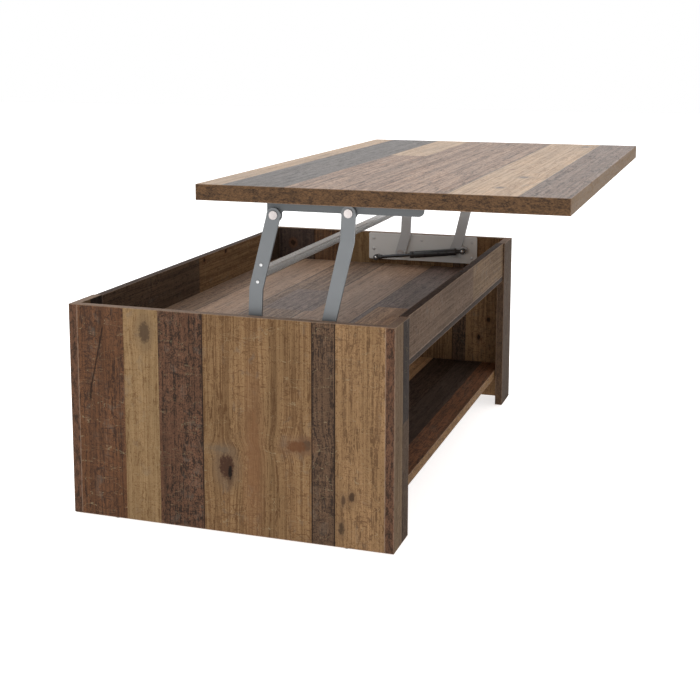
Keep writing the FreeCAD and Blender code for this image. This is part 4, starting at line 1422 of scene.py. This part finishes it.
@dataclass
class SmallFittings:
    """The cam fittings of the shelf and the glides under the case."""

    glide_taper: float = 1.0
    glide_thick: float = 2.5
    glide_nail: float = 1.5

    def build(self) -> None:
        """Replace the glides and dress the cams."""
        put_on("shelf_cams", CAM_ZINC.material())
        piece = bmesh.new()
        for low, high in loose_boxes("floor_glides"):
            middle = (low + high) / 2.0
            radius = (high.x - low.x) / 2.0 / MM
            set_down(self.glide(radius, (high.z - low.z) / MM), Vector((middle.x, middle.y, low.z)),
                     Vector((0.0, 0.0, 1.0)), piece)
        make_piece("floor_glides_fine", piece, GLIDE_PLASTIC, "case", "glide_plastic", "floor_glides")

    def glide(self, radius: float, height: float) -> bmesh.types.BMesh:
        """Make a nailed glide with a dished, rounded foot at the origin.

        Args:
            radius: Radius of the foot, in millimetres.
            height: Height with its nail, in millimetres.

        Returns:
            The shape.
        """
        thick, nail = self.glide_thick, self.glide_nail
        low = radius - self.glide_taper
        outline = [(0.0, 0.3), (low * 0.3, 0.3), (low * 0.45, 0.0), (low - 0.5, 0.0), (low - 0.1, 0.25),
                   (radius - 0.2, thick - 0.5), (radius, thick - 0.2), (radius - 0.2, thick), (nail, thick),
                   (nail, height - 2.0), (nail * 0.4, height - 0.3), (0.0, height)]
        return turned(outline, 24)


@dataclass
class Studio:
    """The pale floor, the soft light and the camera."""

    camera_place: tuple[float, float, float] = (-2.5396, -0.7429, 0.8930)
    camera_down: float = 8.5
    camera_turn: float = 18.74
    lens: float = 63.96
    shift: tuple[float, float] = (0.0214, -0.1714)
    floor_half: float = 14.0
    floor_glow: float = 0.70
    sky_front: float = 0.68
    sky_back: float = 1.10

    def build(self) -> None:
        """Make the camera, the floor and the lights."""
        self.camera()
        self.floor()
        self.world()
        self.lamps()
        bpy.context.scene.view_settings.view_transform = "Standard"

    def camera(self) -> None:
        """Make the camera, a little above the raised top and before the left end."""
        data = bpy.data.cameras.new("camera")
        data.sensor_width = 36.0
        data.lens = self.lens
        data.shift_x, data.shift_y = self.shift
        data.clip_end = 60.0
        made = bpy.data.objects.new("camera", data)
        made.location = self.camera_place
        tilt, turn = math.radians(90.0 - self.camera_down), math.radians(self.camera_turn - 90.0)
        made.rotation_euler = (tilt, 0.0, turn)
        bpy.context.scene.collection.objects.link(made)
        bpy.context.scene.camera = made

    def floor(self) -> None:
        """Make the plain pale floor."""
        work = bmesh.new()
        bmesh.ops.create_grid(work, x_segments=1, y_segments=1, size=self.floor_half)
        bmesh.ops.translate(work, verts=work.verts, vec=(0.0, 0.0, CAD_BOX[0].z))
        mesh = bpy.data.meshes.new("floor")
        work.to_mesh(mesh)
        work.free()
        shader = Shader(bpy.data.materials.new("floor_white"))
        cloud = shader.noise(shader.field("ShaderNodeTexCoord", output="Object"), 2.0)
        colour = shader.mix(cloud, (0.90, 0.90, 0.90), (0.93, 0.93, 0.93))
        white = shader.surface({"Base Color": colour, "Roughness": 0.8, "Specular IOR Level": 0.2,
                                "Emission Color": (1.0, 1.0, 1.0, 1.0), "Emission Strength": self.floor_glow})
        mesh.materials.append(shader.finish(white))
        made = bpy.data.objects.new("floor", mesh)
        bpy.context.scene.collection.objects.link(made)

    def world(self) -> None:
        """Make the white surroundings, brighter behind the table than before it."""
        shader = Shader(bpy.data.worlds.new("studio"))
        bpy.context.scene.world = shader.owner
        x, y, _ = shader.axes("Generated")
        turn = math.radians(self.camera_turn)
        behind = x * math.cos(turn) + y * math.sin(turn)
        glow = self.sky_front + shader.smooth(behind, -0.8, 0.6) * (self.sky_back - self.sky_front)
        seen = shader.field("ShaderNodeLightPath", output="Is Camera Ray")
        strength = shader.maths("MAXIMUM", seen, glow * (1.0 - seen))
        light = {"Color": (1.0, 1.0, 1.0, 1.0), "Strength": strength}
        shader.finish(shader.field("ShaderNodeBackground", sockets=light))

    def lamps(self) -> None:
        """Stand a soft lamp before the left end, low enough to shine in under the top, and hang one above."""
        lamps = (("key", (-3.4, 0.2, 0.7), 1.3, 17.0), ("above", (0.2, 0.2, 3.4), 4.4, 30.0))
        for name, place, size, power in lamps:
            data = bpy.data.lights.new(name, "AREA")
            data.shape = "SQUARE"
            data.size = size
            data.energy = power
            made = bpy.data.objects.new(name, data)
            made.location = place
            made.rotation_euler = (-Vector(place)).to_track_quat("-Z", "Y").to_euler()
            bpy.context.scene.collection.objects.link(made)


def main() -> None:
    """Build every sub-assembly in order."""
    logging.basicConfig(level=logging.INFO, format="%(name)s: %(message)s")
    for assembly in (Studio(), WoodenCase(), LiftTop(), Steelwork(), Fasteners(),
                     GasSpring(Side.LEFT), GasSpring(Side.RIGHT), SmallFittings()):
        assembly.build()
        LOG.info("finished %s", type(assembly).__name__)


if __name__ == "__main__":
    main()
